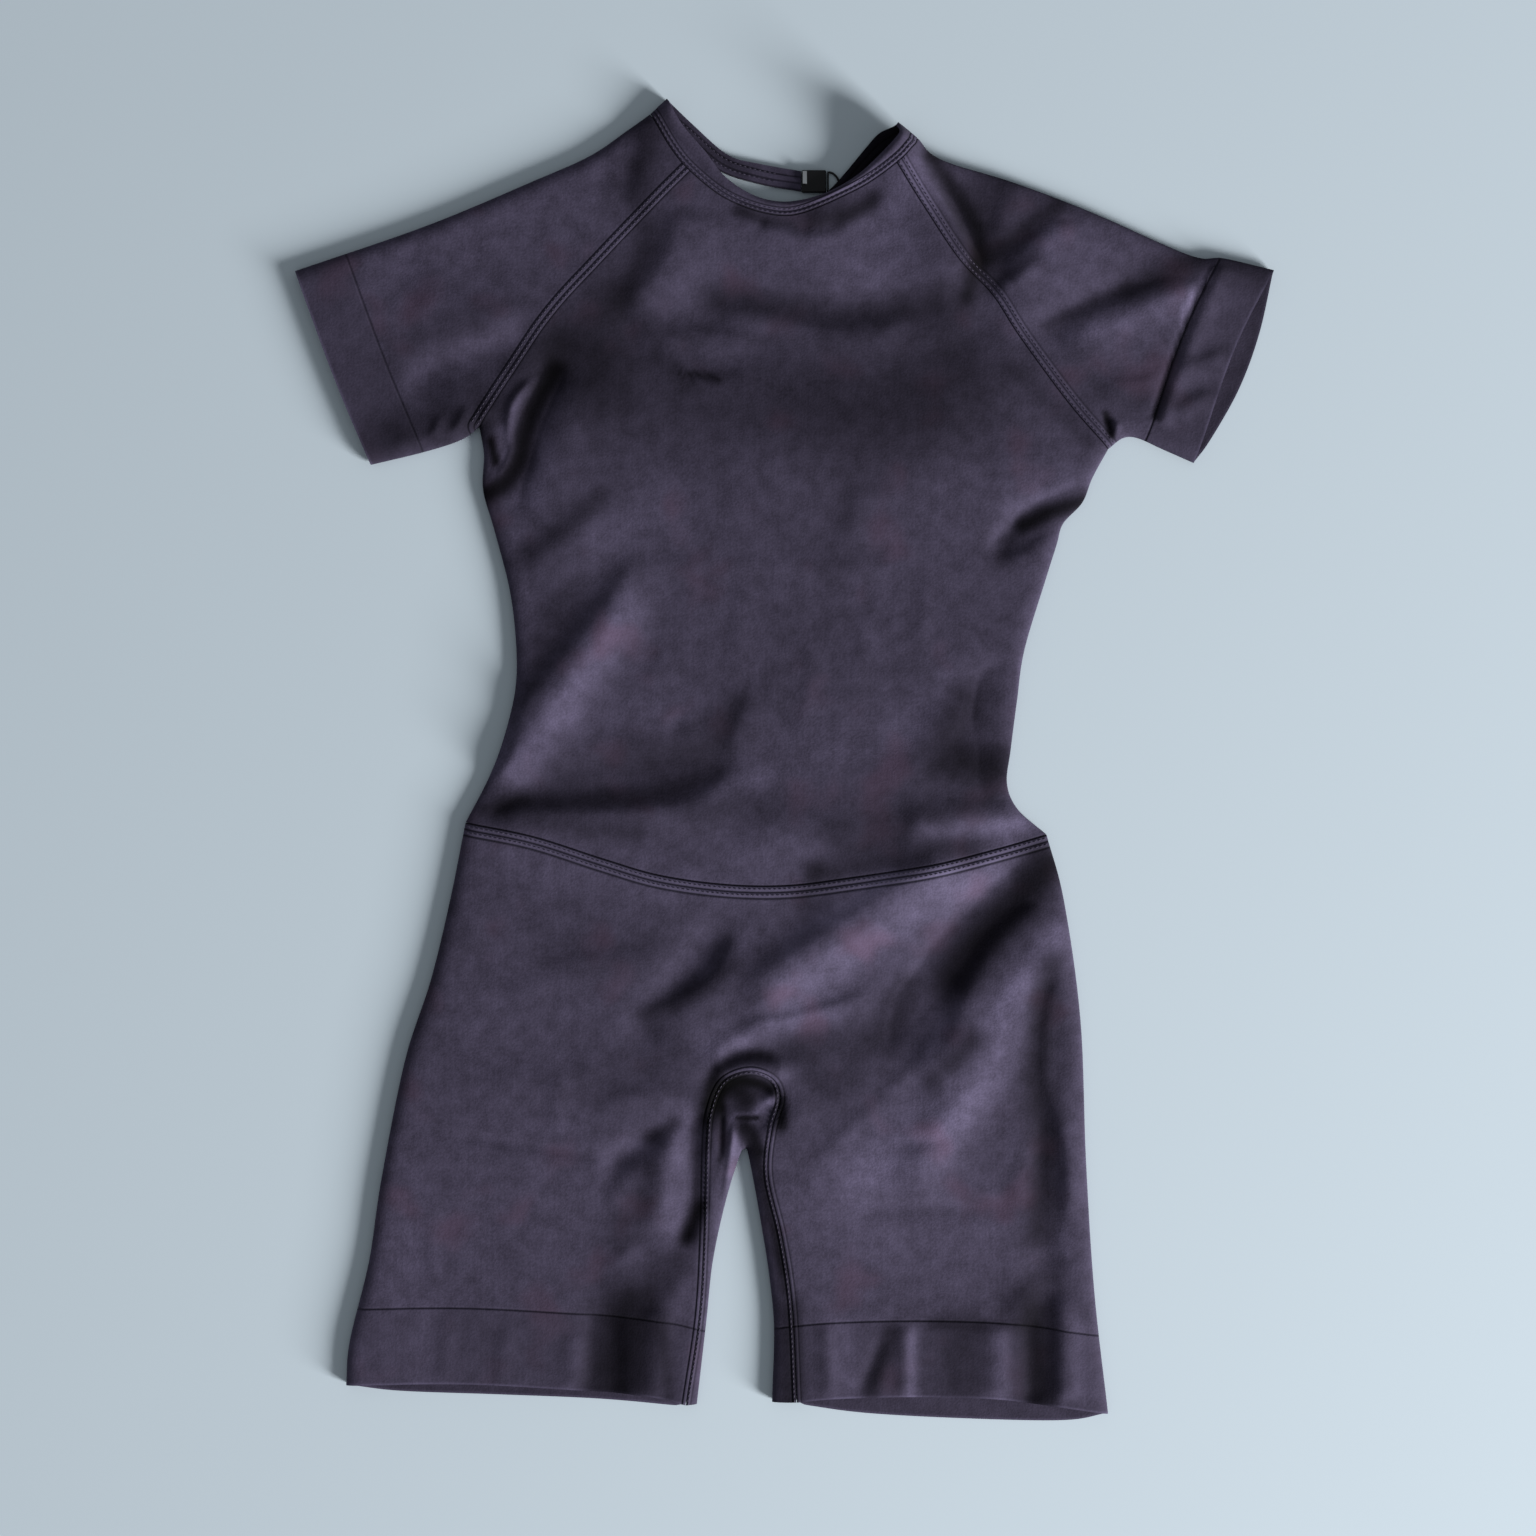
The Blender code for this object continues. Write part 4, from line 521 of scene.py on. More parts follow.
def along(line, places):
    lengths = lengths_of(line)
    places = np.asarray(places) * lengths[-1]
    return np.column_stack([np.interp(places, lengths, line[:, k]) for k in range(line.shape[1])])


def length(line):
    return lengths_of(line)[-1]


def inset(line, distance):
    tangent = np.gradient(line, axis=0)
    tangent /= np.linalg.norm(tangent, axis=1)[:, None]
    return line + distance * np.column_stack([-tangent[:, 1], tangent[:, 0]])


def ended(line, first=None, last=None):
    line = line.copy()
    if first is not None:
        line[0] = first
    if last is not None:
        line[-1] = last
    return line


def rows_between(table, first, last):
    return spline(table)[first * STEPS:last * STEPS + 1]


def trimmed(line, start=HALF_GAP, end=HALF_GAP):
    whole = length(line)
    inner = along(line, [start / whole, 1 - end / whole])
    return np.vstack([inner[:1], line[1:-1], inner[1:]])


INSEAM_TABLE = RIGHT_INSEAM + CROTCH_ARCH[1:-1] + LEFT_INSEAM
INNER_LEG_TABLE = RIGHT_INNER_LEG + [CROTCH_TIP] + LEFT_INNER_LEG
FOLDED_EDGES = [spline(table) for table in (
    RIGHT_SIDE, LEFT_SIDE, RIGHT_HIP, LEFT_HIP, INNER_LEG_TABLE,
    RIGHT_SHOULDER, LEFT_SHOULDER, RIGHT_UNDERARM, LEFT_UNDERARM)]
FOLDED_EDGES += [np.array([NECKLINE[0], NECK_EDGE[0]]), np.array([NECKLINE[-1], NECK_EDGE[-1]])]
SEAMS = [spline(table) for table in (
    FRONT_WAIST, BACK_WAIST, RIGHT_RAGLAN, LEFT_RAGLAN, RIGHT_BACK_RAGLAN, LEFT_BACK_RAGLAN,
    NECKLINE, RIGHT_STRAP_FOOT, LEFT_STRAP_FOOT, INSEAM_TABLE)]
print("waist seam", round(length(SEAMS[0])), "mm, front raglan", round(length(SEAMS[2])), "mm")

# %% [markdown]
# ## One form for all panels
#
# Neighbouring panels have to meet, so they all read their height from one function of their place
# in plan. The front lies a few millimetres over the surface, sinks to the folded edges along a
# quarter round, and carries folds and creases. The back lies flat.

# %% Distances in plan
FAR, TINY = 1e9, 1e-6


def line_distance(points, line):
    """Distance to a line, the side of it, and the share of the line's length there.

    The side is 1 straight to its left, -1 straight to its right and between them past its ends.
    """
    nearest = np.full(len(points), FAR)
    side, place = np.zeros(len(points)), np.zeros(len(points))
    lengths = lengths_of(line)
    for k, (start, run) in enumerate(zip(line[:-1], np.diff(line, axis=0))):
        offset = points - start
        share = np.clip(offset @ run / (run @ run), 0, 1)
        offset = offset - share[:, None] * run
        gap = np.hypot(offset[:, 0], offset[:, 1])
        closer = gap < nearest
        nearest[closer] = gap[closer]
        square = (run[0] * offset[:, 1] - run[1] * offset[:, 0]) / np.hypot(*run)
        side[closer] = square[closer] / np.maximum(gap[closer], TINY)
        place[closer] = (lengths[k] + share * (lengths[k + 1] - lengths[k]))[closer] / lengths[-1]
    return nearest, np.clip(side, -1, 1), place


def soft_line(points, path, left, right, soft_ends=0.0):
    """1 on a path, running out to its sides over these widths, and to its ends."""
    line = spline(path) if len(path) > 2 else np.array(path, float)
    reach = 3 * max(left, right)
    near = np.all((points > line.min(0) - reach) & (points < line.max(0) + reach), axis=1)
    amount = np.zeros(len(points))
    if near.any():
        gap, side, place = line_distance(points[near], line)
        width = right + (left - right) * (0.5 + 0.5 * side)
        taper = 1.0
        if soft_ends:
            taper = np.sin(np.pi / 2 * np.clip(np.minimum(place, 1 - place) / soft_ends, 0, 1)) ** 2
        amount[near] = taper * np.exp(-(gap / width) ** 2)
    return amount


def nearest_edge(points):
    """Distance to the nearest folded edge, and the direction in plan square to it."""
    nearest = np.full(len(points), FAR)
    square = np.zeros((len(points), 2))
    for line in FOLDED_EDGES:
        tangent = np.gradient(line, axis=0)
        for k, (start, run) in enumerate(zip(line[:-1], np.diff(line, axis=0))):
            offset = points - start
            share = np.clip(offset @ run / (run @ run), 0, 1)[:, None]
            offset = offset - share * run
            gap = np.hypot(offset[:, 0], offset[:, 1])
            closer = gap < nearest
            turned = ((1 - share) * tangent[k] + share * tangent[k + 1])[closer]
            square[closer] = np.column_stack([-turned[:, 1], turned[:, 0]])
            nearest[closer] = gap[closer]
    return nearest, square / np.linalg.norm(square, axis=1)[:, None]


# %% Heights of front and back
def fold_rise(points):
    rise = np.full(len(points), FOLD_RISE)
    for x, y, reach, extra in PEAKS:
        rise += extra * np.exp(-((points - (x, y)) ** 2).sum(1) / reach ** 2)
    return rise


def quarter_round(distance, width):
    return np.sqrt(1 - (1 - np.clip(distance / width, 0, 1)) ** 2)


def front_form(points, edge):
    rise = fold_rise(points)
    height = FRONT_HEIGHT + (rise - FOLD_RISE)
    for x1, y1, x2, y2, left, right, fold in FOLDS:
        height = height + fold * soft_line(points, [(x1, y1), (x2, y2)], left, right)
    for path, left, right, fold, soft_ends in CREASES:
        height = height + fold * soft_line(points, path, left, right, soft_ends)
    inside = np.clip(edge / EDGE_REACH, 0, 1) ** 2
    lowest = (1 - inside) * (rise + EDGE_BODY) + inside * LOWEST_FRONT
    return lowest + np.where(height > lowest, 1.0, SUNK_SHARE) * (height - lowest)


def front_height(points):
    edge = nearest_edge(points)[0]
    rise = fold_rise(points)
    return rise + (front_form(points, edge) - rise) * quarter_round(edge, FRONT_ROUND)


def back_height(points):
    rise = fold_rise(points)
    edge = nearest_edge(points)[0]
    hollow = np.zeros(len(points))
    for path, left, right, depth in BACK_CREASES:
        hollow += depth * soft_line(points, path, left, right, BACK_SOFT_ENDS)
    hollow = np.minimum(hollow, DEEPEST_HOLLOW) * np.clip(edge / BACK_REACH, 0, 1)
    return rise * (1 - quarter_round(edge, rise)) + hollow


def strap_top(points):
    """Top of a back strap, which lies under the front: its flat underside and its wall."""
    return back_height(points) + BINDING_WALL


def painted_shading(points, painted_rows):
    """Painted light and shade: how much paler or deeper than plain yarn the cloth is painted."""
    factor = np.zeros(len(points))
    for path, width, painted_tone in painted_rows:
        factor += np.log(painted_tone) * soft_line(points, path, width, width)
    return np.exp(factor)


print("front over the belly:", front_height(np.array([[0.0, 60.0]])).round(2), "mm")

# %% [markdown]
# ## A wall for every sheet
#
# A single surface has no thickness, so its hems would look like paper. Each outer point gets an
# inner partner: straight below it where the sheet lies flat, and sideways at a folded edge, so
# that the wall turns round the fold without crossing itself.

# %% Walls
ON_FOLD, FOLD_REACH, NEAR_FOLD, SEAM_REACH, FOLD_FADE = 0.02, 4.0, 3.0, 1.2, 1.7
SHORTEST_RUN, STEEPEST, LONGEST = 0.05, 1.3, 1.6


def along_seam(point, direction, on_fold):
    """A direction turned to run along the nearest seam, so that two panels' walls stay apart."""
    found = []
    for line in SEAMS:
        start, run = line[:-1], np.diff(line, axis=0)
        share = np.clip(((point - start) * run).sum(1) / (run ** 2).sum(1), 0, 1)
        gaps = np.linalg.norm(start + share[:, None] * run - point, axis=1)
        k = int(np.argmin(gaps))
        if gaps[k] < SEAM_REACH:
            square = np.array([-run[k][1], run[k][0]])
            found.append((gaps[k], square / np.linalg.norm(square)))
    if not found:
        return direction
    found.sort(key=lambda pair: pair[0])
    square = found[0][1]
    if on_fold:
        total = sum(s if s @ square > 0 else -s for _, s in found)
        square = total / np.linalg.norm(total)
    direction = direction - (direction @ square) * square
    return direction / np.linalg.norm(direction)


def inner_grid(grid, solid, below, wall):
    """The inner partner of each outer point of a panel."""
    rows, columns = grid.shape[:2]
    flat = grid.reshape(-1, 2)
    distance, square = nearest_edge(flat)
    fade = np.exp(-distance / (FOLD_FADE * wall))
    towards = np.zeros_like(grid)
    off_fold = (distance > ON_FOLD).reshape(rows, columns)
    for i, j in zip(*np.nonzero(~off_fold)):
        for m, n in ((i - 1, j), (i + 1, j), (i, j - 1), (i, j + 1)):
            if 0 <= m < rows and 0 <= n < columns and off_fold[m, n]:
                step = grid[m, n] - grid[i, j]
                towards[i, j] += step / np.linalg.norm(step)
    towards = towards.reshape(-1, 2)
    ahead = nearest_edge(flat + ON_FOLD / 2 * square)[0]
    inwards = np.where(distance > ON_FOLD, ahead - distance, (towards * square).sum(axis=1))
    square *= np.sign(inwards)[:, None]
    for k in np.flatnonzero(distance < FOLD_REACH):
        square[k] = along_seam(flat[k], square[k], distance[k] < ON_FOLD)
    inner = solid.reshape(-1, 3).copy()
    inner[:, :2] += wall * fade[:, None] * square
    upright = wall * np.sqrt(1 - fade ** 2)
    rise = fold_rise(flat)
    beside = (distance > ON_FOLD) & (distance < NEAR_FOLD)
    if below:
        inner[:, 2] += upright
        inner[:, 2] = np.where(beside, np.minimum(inner[:, 2], rise - SEAM_GAP), inner[:, 2])
    else:
        inner[:, 2] -= upright * steepness(grid, solid)
        inner[:, 2] = np.where(beside, np.maximum(inner[:, 2], rise + SEAM_GAP), inner[:, 2])
    return inner.reshape(solid.shape)


def steepness(grid, solid):
    """How much longer than its plan a sheet is, read from its own grid."""
    slopes = []
    for axis in (0, 1):
        run = np.linalg.norm(np.gradient(grid, axis=axis), axis=2)
        slopes.append(np.gradient(solid[:, :, 2], axis=axis) / np.maximum(run, SHORTEST_RUN))
    slope = np.hypot(*slopes).ravel()
    return np.clip(np.sqrt(1 + np.minimum(slope, STEEPEST) ** 2), 1, LONGEST)


print("wall fades to the side within", round(FOLD_FADE * CLOTH_WALL, 2), "mm of a fold")


# %% Patches
def coons(low, top, first, last, across, up):
    """A four-sided patch of points between its low and top lines and its first and last ones."""
    u, v = np.asarray(across)[None, :, None], np.asarray(up)[:, None, None]
    ruled = (1 - v) * low[None] + v * top[None] + (1 - u) * first[:, None] + u * last[:, None]
    corners = ((1 - u) * (1 - v) * low[0] + u * (1 - v) * low[-1]
               + (1 - u) * v * top[0] + u * v * top[-1])
    return ruled - corners


def raised(grid, height):
    flat = grid.reshape(-1, 2)
    return np.column_stack([flat, height(flat)]).reshape(grid.shape[0], grid.shape[1], 3)


# %% Make a piece of several panels
SEAM_LABELS = "raglan", "waist", "neckline", "inseam", "welt", "strap"
NO_SEAM, SAME_POINT, SHARP_ANGLE = 500.0, 0.02, 0.9


def placed(name, data):
    """An object of that name and data, in the scene."""
    thing = bpy.data.objects.new(name, data)
    bpy.context.scene.collection.objects.link(thing)
    return thing


def kept_values(points, seams, below):
    """Distance in millimetres to each of a panel's seams, with the panel's own sign, and its painted
    light and shade.
    """
    columns = []
    for label in SEAM_LABELS:
        lines, sign = seams.get(label, ((), 1))
        nearest = np.full(len(points), NO_SEAM)
        for line in lines:
            nearest = np.minimum(nearest, line_distance(points, line)[0])
        columns.append(sign * nearest)
    columns.append(painted_shading(points, LOWER_PAINTED_SHADE if below else PAINTED_LIGHT_AND_SHADE))
    return np.column_stack(columns)


def cloth_piece(name, panels, wall):
    """A closed shell of panels joined where they share points.

    Each panel is its plan grid, its outer side, whether it is a lower layer, and its seams. The
    distance to every kind of seam is kept as an attribute, for the material to draw lines by.
    """
    mesh = bmesh.new()
    shared, seam_values = {}, []
    for grid, solid, below, seams in panels:
        inner = inner_grid(grid, solid, below, wall)
        distances = kept_values(grid.reshape(-1, 2), seams, below).reshape(*grid.shape[:2], -1)
        verts = []
        for outer_row, inner_row, values in zip(solid, inner, distances):
            row = []
            for outer_point, inner_point, value in zip(outer_row, inner_row, values):
                key = tuple(np.round(outer_point / SAME_POINT).astype(int))
                if key not in shared:
                    shared[key] = (mesh.verts.new(outer_point * MM),
                                   mesh.verts.new(inner_point * MM))
                    seam_values += [value, value]
                row.append(shared[key])
            verts.append(row)
        run, up = grid[0, 1] - grid[0, 0], grid[1, 0] - grid[0, 0]
        faces_up = (run[0] * up[1] - run[1] * up[0] > 0) != below
        for row, above in zip(verts, verts[1:]):
            for a, b, c, d in zip(row, row[1:], above[1:], above):
                corners = (a, b, c, d) if faces_up else (a, d, c, b)
                mesh.faces.new([outer for outer, _ in corners])
    inner_of = dict(shared.values())
    outer_faces = list(mesh.faces)
    rims = [edge for edge in mesh.edges if edge.is_boundary]
    for face in outer_faces:
        mesh.faces.new([inner_of[v] for v in reversed(face.verts)])
    for edge in rims:
        loop = edge.link_loops[0]
        a, b = loop.vert, loop.link_loop_next.vert
        mesh.faces.new((b, a, inner_of[a], inner_of[b]))
    data = bpy.data.meshes.new(name)
    mesh.to_mesh(data)
    mesh.free()
    data.shade_smooth()
    data.set_sharp_from_angle(angle=SHARP_ANGLE)
    for label, values in zip((*SEAM_LABELS, "painted_shading"), np.array(seam_values).T):
        data.attributes.new(label, "FLOAT", "POINT").data.foreach_set(
            "value", np.ascontiguousarray(values))
    print(f"{name}: {len(data.polygons)} faces")
    return placed(name, data)


# %% [markdown]
# ## Panels
#
# Every panel is a four-sided patch between two opposite edges, as in the solids, but divided about
# five times finer, and closer still beside the folded edges, where the cloth turns.

# %% How finely the panels are divided
EDGE_STEPS = (0.0, 0.3, 0.8, 1.6, 2.7, 4.2, 6.2, 8.6)       # millimetres from a folded edge
BODICE_NECK = (2, 7)        # rows of the neckline between which the bodice is sewn to it
BACK_STRIP_WIDTH, STRAP_SEAM_LENGTH = 98.0, 40.0
RAGLAN_SHARE, NECK_SHARE = 0.345, 0.31
RIGHT_LEG_SHARE, LEFT_LEG_SHARE = 0.42, 0.46
OPENING_SIDE_SHARE = 0.425


def spaced(count, width):
    """Places from 0 to 1: close ones beside a folded edge, then so many even ones."""
    start = [d / width for d in EDGE_STEPS]
    return np.concatenate([start, np.linspace(start[-1], 1, count + 1)[1:]])


def closer_past(share, before, after):
    """Even places up to that share of the way, and other, closer ones past it."""
    return np.concatenate([np.linspace(0, share, before), np.linspace(share, 1, after)[1:]])


RAGLAN_PLACES = spaced(76, length(spline(RIGHT_RAGLAN)))
BACK_RAGLAN_PLACES = spaced(22, BACK_STRIP_WIDTH)
PEAK_PLACES = spaced(9, length(spline(NECKLINE[:3])))
NECK_PLACES = np.linspace(0, 1, 61)
STRAP_SEAM_PLACES = spaced(9, STRAP_SEAM_LENGTH)
SIDE_PLACES = closer_past(0.78, 88, 36)
SLEEVE_PLACES = closer_past(0.84, 52, 30)
LEG_PLACES = np.linspace(0, 1, 61)
FRONT_ACROSS = np.concatenate([
    RAGLAN_SHARE * RAGLAN_PLACES, RAGLAN_SHARE + NECK_SHARE * NECK_PLACES[1:-1],
    1 - RAGLAN_SHARE * RAGLAN_PLACES[::-1]])
NECK_ENDS = 0, *BODICE_NECK, len(NECKLINE) - 1
right_neck, front_neck, left_neck = [
    rows_between(NECKLINE, first, last) for first, last in zip(NECK_ENDS, NECK_ENDS[1:])]
print("columns across the front:", len(FRONT_ACROSS))


def seam_edge(stretches, shift, first, last):
    """A panel's sewn edge through several stretches of seam, and each point's share of it."""
    whole = np.vstack([stretches[0][0]] + [line[1:] for line, _ in stretches[1:]])
    whole = ended(inset(whole, shift), first, last)
    points, fractions, start, travelled = [], [], 0, 0.0
    for k, (line, places) in enumerate(stretches):
        part = whole[start:start + len(line)]
        places = np.asarray(places)[(1 if k else 0):]
        points.append(along(part, places))
        fractions.append(travelled + places * length(part))
        start += len(line) - 1
        travelled += length(part)
    return np.vstack(points), np.concatenate(fractions) / travelled


# %% Bodice, front and back
RIGHT_FOLD = trimmed(spline(RIGHT_SIDE)[::-1])
LEFT_FOLD = trimmed(spline(LEFT_SIDE)[::-1])


def split_grid(grid, height, lift):
    """A raised grid whose points on the side folds keep half the gap to the other layer."""
    solid = raised(grid, height)
    on_fold = nearest_edge(grid.reshape(-1, 2))[0].reshape(grid.shape[:2]) < ON_FOLD
    solid[on_fold, 2] += lift
    return solid


waist = ended(inset(spline(FRONT_WAIST), HALF_GAP), RIGHT_FOLD[0], LEFT_FOLD[0])
top, _ = seam_edge([(spline(RIGHT_RAGLAN), RAGLAN_PLACES),
                    (front_neck, NECK_PLACES),
                    (spline(LEFT_RAGLAN), 1 - RAGLAN_PLACES[::-1])],
                   -HALF_GAP, RIGHT_FOLD[-1], LEFT_FOLD[-1])
grid = coons(along(waist, FRONT_ACROSS), top, along(RIGHT_FOLD, SIDE_PLACES),
             along(LEFT_FOLD, SIDE_PLACES), FRONT_ACROSS, SIDE_PLACES)
FRONT_RAGLANS = spline(RIGHT_RAGLAN), spline(LEFT_RAGLAN)
BACK_RAGLANS = spline(RIGHT_BACK_RAGLAN), spline(LEFT_BACK_RAGLAN)
seams = {"raglan": (FRONT_RAGLANS, -1), "waist": ([spline(FRONT_WAIST)], -1),
         "neckline": ([spline(NECKLINE)], -1)}
bodice_front = cloth_piece("bodice_front_cloth", [
    (grid, split_grid(grid, front_height, HALF_GAP), False, seams)], CLOTH_WALL)

waist = ended(inset(spline(BACK_WAIST), HALF_GAP), RIGHT_FOLD[0], LEFT_FOLD[0])
right_raglan = ended(inset(spline(RIGHT_BACK_RAGLAN), -HALF_GAP), RIGHT_FOLD[-1])
left_raglan = ended(inset(spline(LEFT_BACK_RAGLAN), -HALF_GAP), None, LEFT_FOLD[-1])
opening = ended(spline(OPEN_BACK), right_raglan[-1], left_raglan[0])
outer = np.vstack([along(RIGHT_FOLD, SIDE_PLACES[::-1]), along(waist, FRONT_ACROSS)[1:-1],
                   along(LEFT_FOLD, SIDE_PLACES)])
bottom = 1 - 2 * OPENING_SIDE_SHARE
places = np.concatenate([OPENING_SIDE_SHARE * SIDE_PLACES,
                         OPENING_SIDE_SHARE + bottom * FRONT_ACROSS[1:-1],
                         OPENING_SIDE_SHARE + bottom + OPENING_SIDE_SHARE * SIDE_PLACES])
grid = coons(outer, along(opening, places), along(right_raglan, BACK_RAGLAN_PLACES),
             along(left_raglan[::-1], BACK_RAGLAN_PLACES), places, BACK_RAGLAN_PLACES)
seams = {"raglan": (BACK_RAGLANS, -1), "waist": ([spline(BACK_WAIST)], -1)}
bodice_back = cloth_piece("bodice_back_cloth", [
    (grid, split_grid(grid, back_height, -HALF_GAP), True, seams)], CLOTH_WALL)


# %% Sleeves
def nape_split(strap_table, nape_table):
    """A strap's foot where the sleeve is sewn to it, the rest of it, and the nape's free edge."""
    seam = spline(strap_table)
    stop = int(np.argmin(np.linalg.norm(seam - nape_table[0], axis=1)))
    return seam[:stop + 1], seam[stop:], ended(spline(nape_table), seam[stop])


def sleeve(name, side, shoulder, underarm, cuffs, neck_seam, raglan, back_raglan, nape):
    """A sleeve's front and back layers; side is 1 for the left one and -1 for the right one."""
    shoulder = trimmed(spline(shoulder), start=0)
    underarm = trimmed(spline(underarm), start=0)
    strap_seam, _, nape_edge = nape_split(*nape)
    ends = ([(neck_seam, PEAK_PLACES), (raglan, 1 - RAGLAN_PLACES[::-1])],
            [(strap_seam, STRAP_SEAM_PLACES), (nape_edge, np.linspace(0, 1, 25)),
             (back_raglan, 1 - BACK_RAGLAN_PLACES[::-1])])
    panels = []
    for cuff, end, height, below in zip(cuffs, ends, (front_height, back_height), (False, True)):
        seams = {"raglan": (BACK_RAGLANS if below else FRONT_RAGLANS, 1),
                 "welt": ([spline(cuff)], 1),
                 "neckline": ((strap_seam if below else spline(NECKLINE),), -1)}
        cuff = ended(spline(cuff), shoulder[0], underarm[0])
        top, across = seam_edge(end, side * HALF_GAP, shoulder[-1], underarm[-1])
        grid = coons(along(cuff, across), top, along(shoulder, SLEEVE_PLACES),
                     along(underarm, SLEEVE_PLACES), across, SLEEVE_PLACES)
        panels.append((grid, raised(grid, height), below, seams))
    return cloth_piece(name, panels, CLOTH_WALL)


sleeve_right = sleeve(
    "sleeve_right_cloth", -1, RIGHT_SHOULDER, RIGHT_UNDERARM, (RIGHT_CUFF, RIGHT_CUFF),
    right_neck, spline(RIGHT_RAGLAN)[::-1], spline(RIGHT_BACK_RAGLAN)[::-1],
    (RIGHT_STRAP_FOOT, RIGHT_NAPE_EDGE))
sleeve_left = sleeve(
    "sleeve_left_cloth", 1, LEFT_SHOULDER, LEFT_UNDERARM, (LEFT_FRONT_CUFF, LEFT_BACK_CUFF),
    left_neck[::-1], spline(LEFT_RAGLAN), spline(LEFT_BACK_RAGLAN),
    (LEFT_STRAP_FOOT, LEFT_NAPE_EDGE))

# %% Shorts
SHORTS_WIDTH = 316.0
right_share = RIGHT_LEG_SHARE * spaced(64, RIGHT_LEG_SHARE * SHORTS_WIDTH)
left_share = 1 - LEFT_LEG_SHARE * spaced(70, LEFT_LEG_SHARE * SHORTS_WIDTH)[::-1]
arch_share = np.linspace(right_share[-1], left_share[0], 46)[1:-1]
SHORTS_ACROSS = np.concatenate([right_share, arch_share, left_share])
ARCH_ROWS = len(RIGHT_INSEAM) - 1, len(RIGHT_INSEAM) + len(CROTCH_ARCH) - 2
LEG_BREAKS = len(right_share) - 1, len(SHORTS_ACROSS) - len(left_share)
ARCH_PLACES = SHORTS_ACROSS[LEG_BREAKS[0]:LEG_BREAKS[1] + 1]
ARCH_PLACES = (ARCH_PLACES - ARCH_PLACES[0]) / (ARCH_PLACES[-1] - ARCH_PLACES[0])


def hip_parts(table, level):
    """The folded side of one leg and of its hip, which meet at the height of the crotch arch."""
    line = trimmed(spline(table), end=0)[::-1]
    k = int(np.searchsorted(line[:, 1], level))
    return line[:k + 1], line[k:]


def inseam_parts(shift):
    """The shifted inseam line of the right leg, of the arch and of the left leg."""
    line = inset(spline(INSEAM_TABLE), shift)
    first, last = ARCH_ROWS[0] * STEPS, ARCH_ROWS[1] * STEPS
    return line[:first + 1], line[first:last + 1], line[last:]


right_leg, right_hip = hip_parts(RIGHT_HIP, RIGHT_INSEAM[-1][1])
left_leg, left_hip = hip_parts(LEFT_HIP, LEFT_INSEAM[0][1])
right_inseam, arch, left_inseam = inseam_parts(HALF_GAP)
right_level = np.array([right_hip[0], arch[0]])
left_level = np.array([arch[-1], left_hip[0]])
right_across = SHORTS_ACROSS[:LEG_BREAKS[0] + 1] / SHORTS_ACROSS[LEG_BREAKS[0]]
left_across = 1 - (1 - SHORTS_ACROSS[LEG_BREAKS[1]:]) / (1 - SHORTS_ACROSS[LEG_BREAKS[1]])
low = np.vstack([along(right_level, right_across), along(arch, ARCH_PLACES)[1:-1],
                 along(left_level, left_across)])
hip_up = np.linspace(0, 1, 71)
panels = []
for waist, right_hem, left_hem, height, below in (
        (FRONT_WAIST, RIGHT_FRONT_HEM, LEFT_FRONT_HEM, front_height, False),
        (BACK_WAIST, RIGHT_BACK_HEM, LEFT_BACK_HEM, back_height, True)):
    seams = {"waist": ([spline(waist)], 1), "inseam": ([spline(INSEAM_TABLE)], 1),
             "welt": ([spline(right_hem), spline(left_hem)], 1)}
    waist = ended(inset(spline(waist), -HALF_GAP), right_hip[-1], left_hip[-1])
    right_hem = ended(spline(right_hem), right_leg[0], right_inseam[0])
    left_hem = ended(spline(left_hem), left_inseam[-1], left_leg[0])
    for grid in (
            coons(low, along(waist, SHORTS_ACROSS), along(right_hip, hip_up),
                  along(left_hip, hip_up), SHORTS_ACROSS, hip_up),
            coons(along(right_hem, right_across), along(right_level, right_across),
                  along(right_leg, LEG_PLACES), along(right_inseam, LEG_PLACES),
                  right_across, LEG_PLACES),
            coons(along(left_hem, left_across), along(left_level, left_across),
                  along(left_inseam[::-1], LEG_PLACES), along(left_leg, LEG_PLACES),
                  left_across, LEG_PLACES)):
        panels.append((grid, raised(grid, height), below, seams))
shorts = cloth_piece("shorts_cloth", panels, CLOTH_WALL)

# %% Inner-leg gusset
GUSSET_ACROSS = np.concatenate([[0.0, 0.02, 0.045], np.linspace(0.08, 1, 28)])  # from the fold
fold = spline(INNER_LEG_TABLE)
first, last = (len(RIGHT_INNER_LEG) - 1) * STEPS, (len(RIGHT_INNER_LEG) + 1) * STEPS
fold_parts = fold[:first + 1], fold[first:last + 1], fold[last:]
stretches = zip(fold_parts, inseam_parts(-HALF_GAP),
                (LEG_PLACES, ARCH_PLACES[1:-1], 1 - LEG_PLACES[::-1]))
inner, outer = [np.vstack(lines) for lines in zip(*[
    (along(part, places), along(seam, places)) for part, seam, places in stretches])]
w = GUSSET_ACROSS[:, None, None]
grid = (1 - w) * inner[None] + w * outer[None]
seams = {"inseam": ([spline(INSEAM_TABLE)], -1),
         "welt": ([spline(RIGHT_FRONT_HEM), spline(LEFT_FRONT_HEM)], 1)}
gusset = cloth_piece("inner_leg_gusset_cloth", [
    (grid, raised(grid, front_height), False, seams),
    (grid, raised(grid, back_height), True, seams)], CLOTH_WALL)

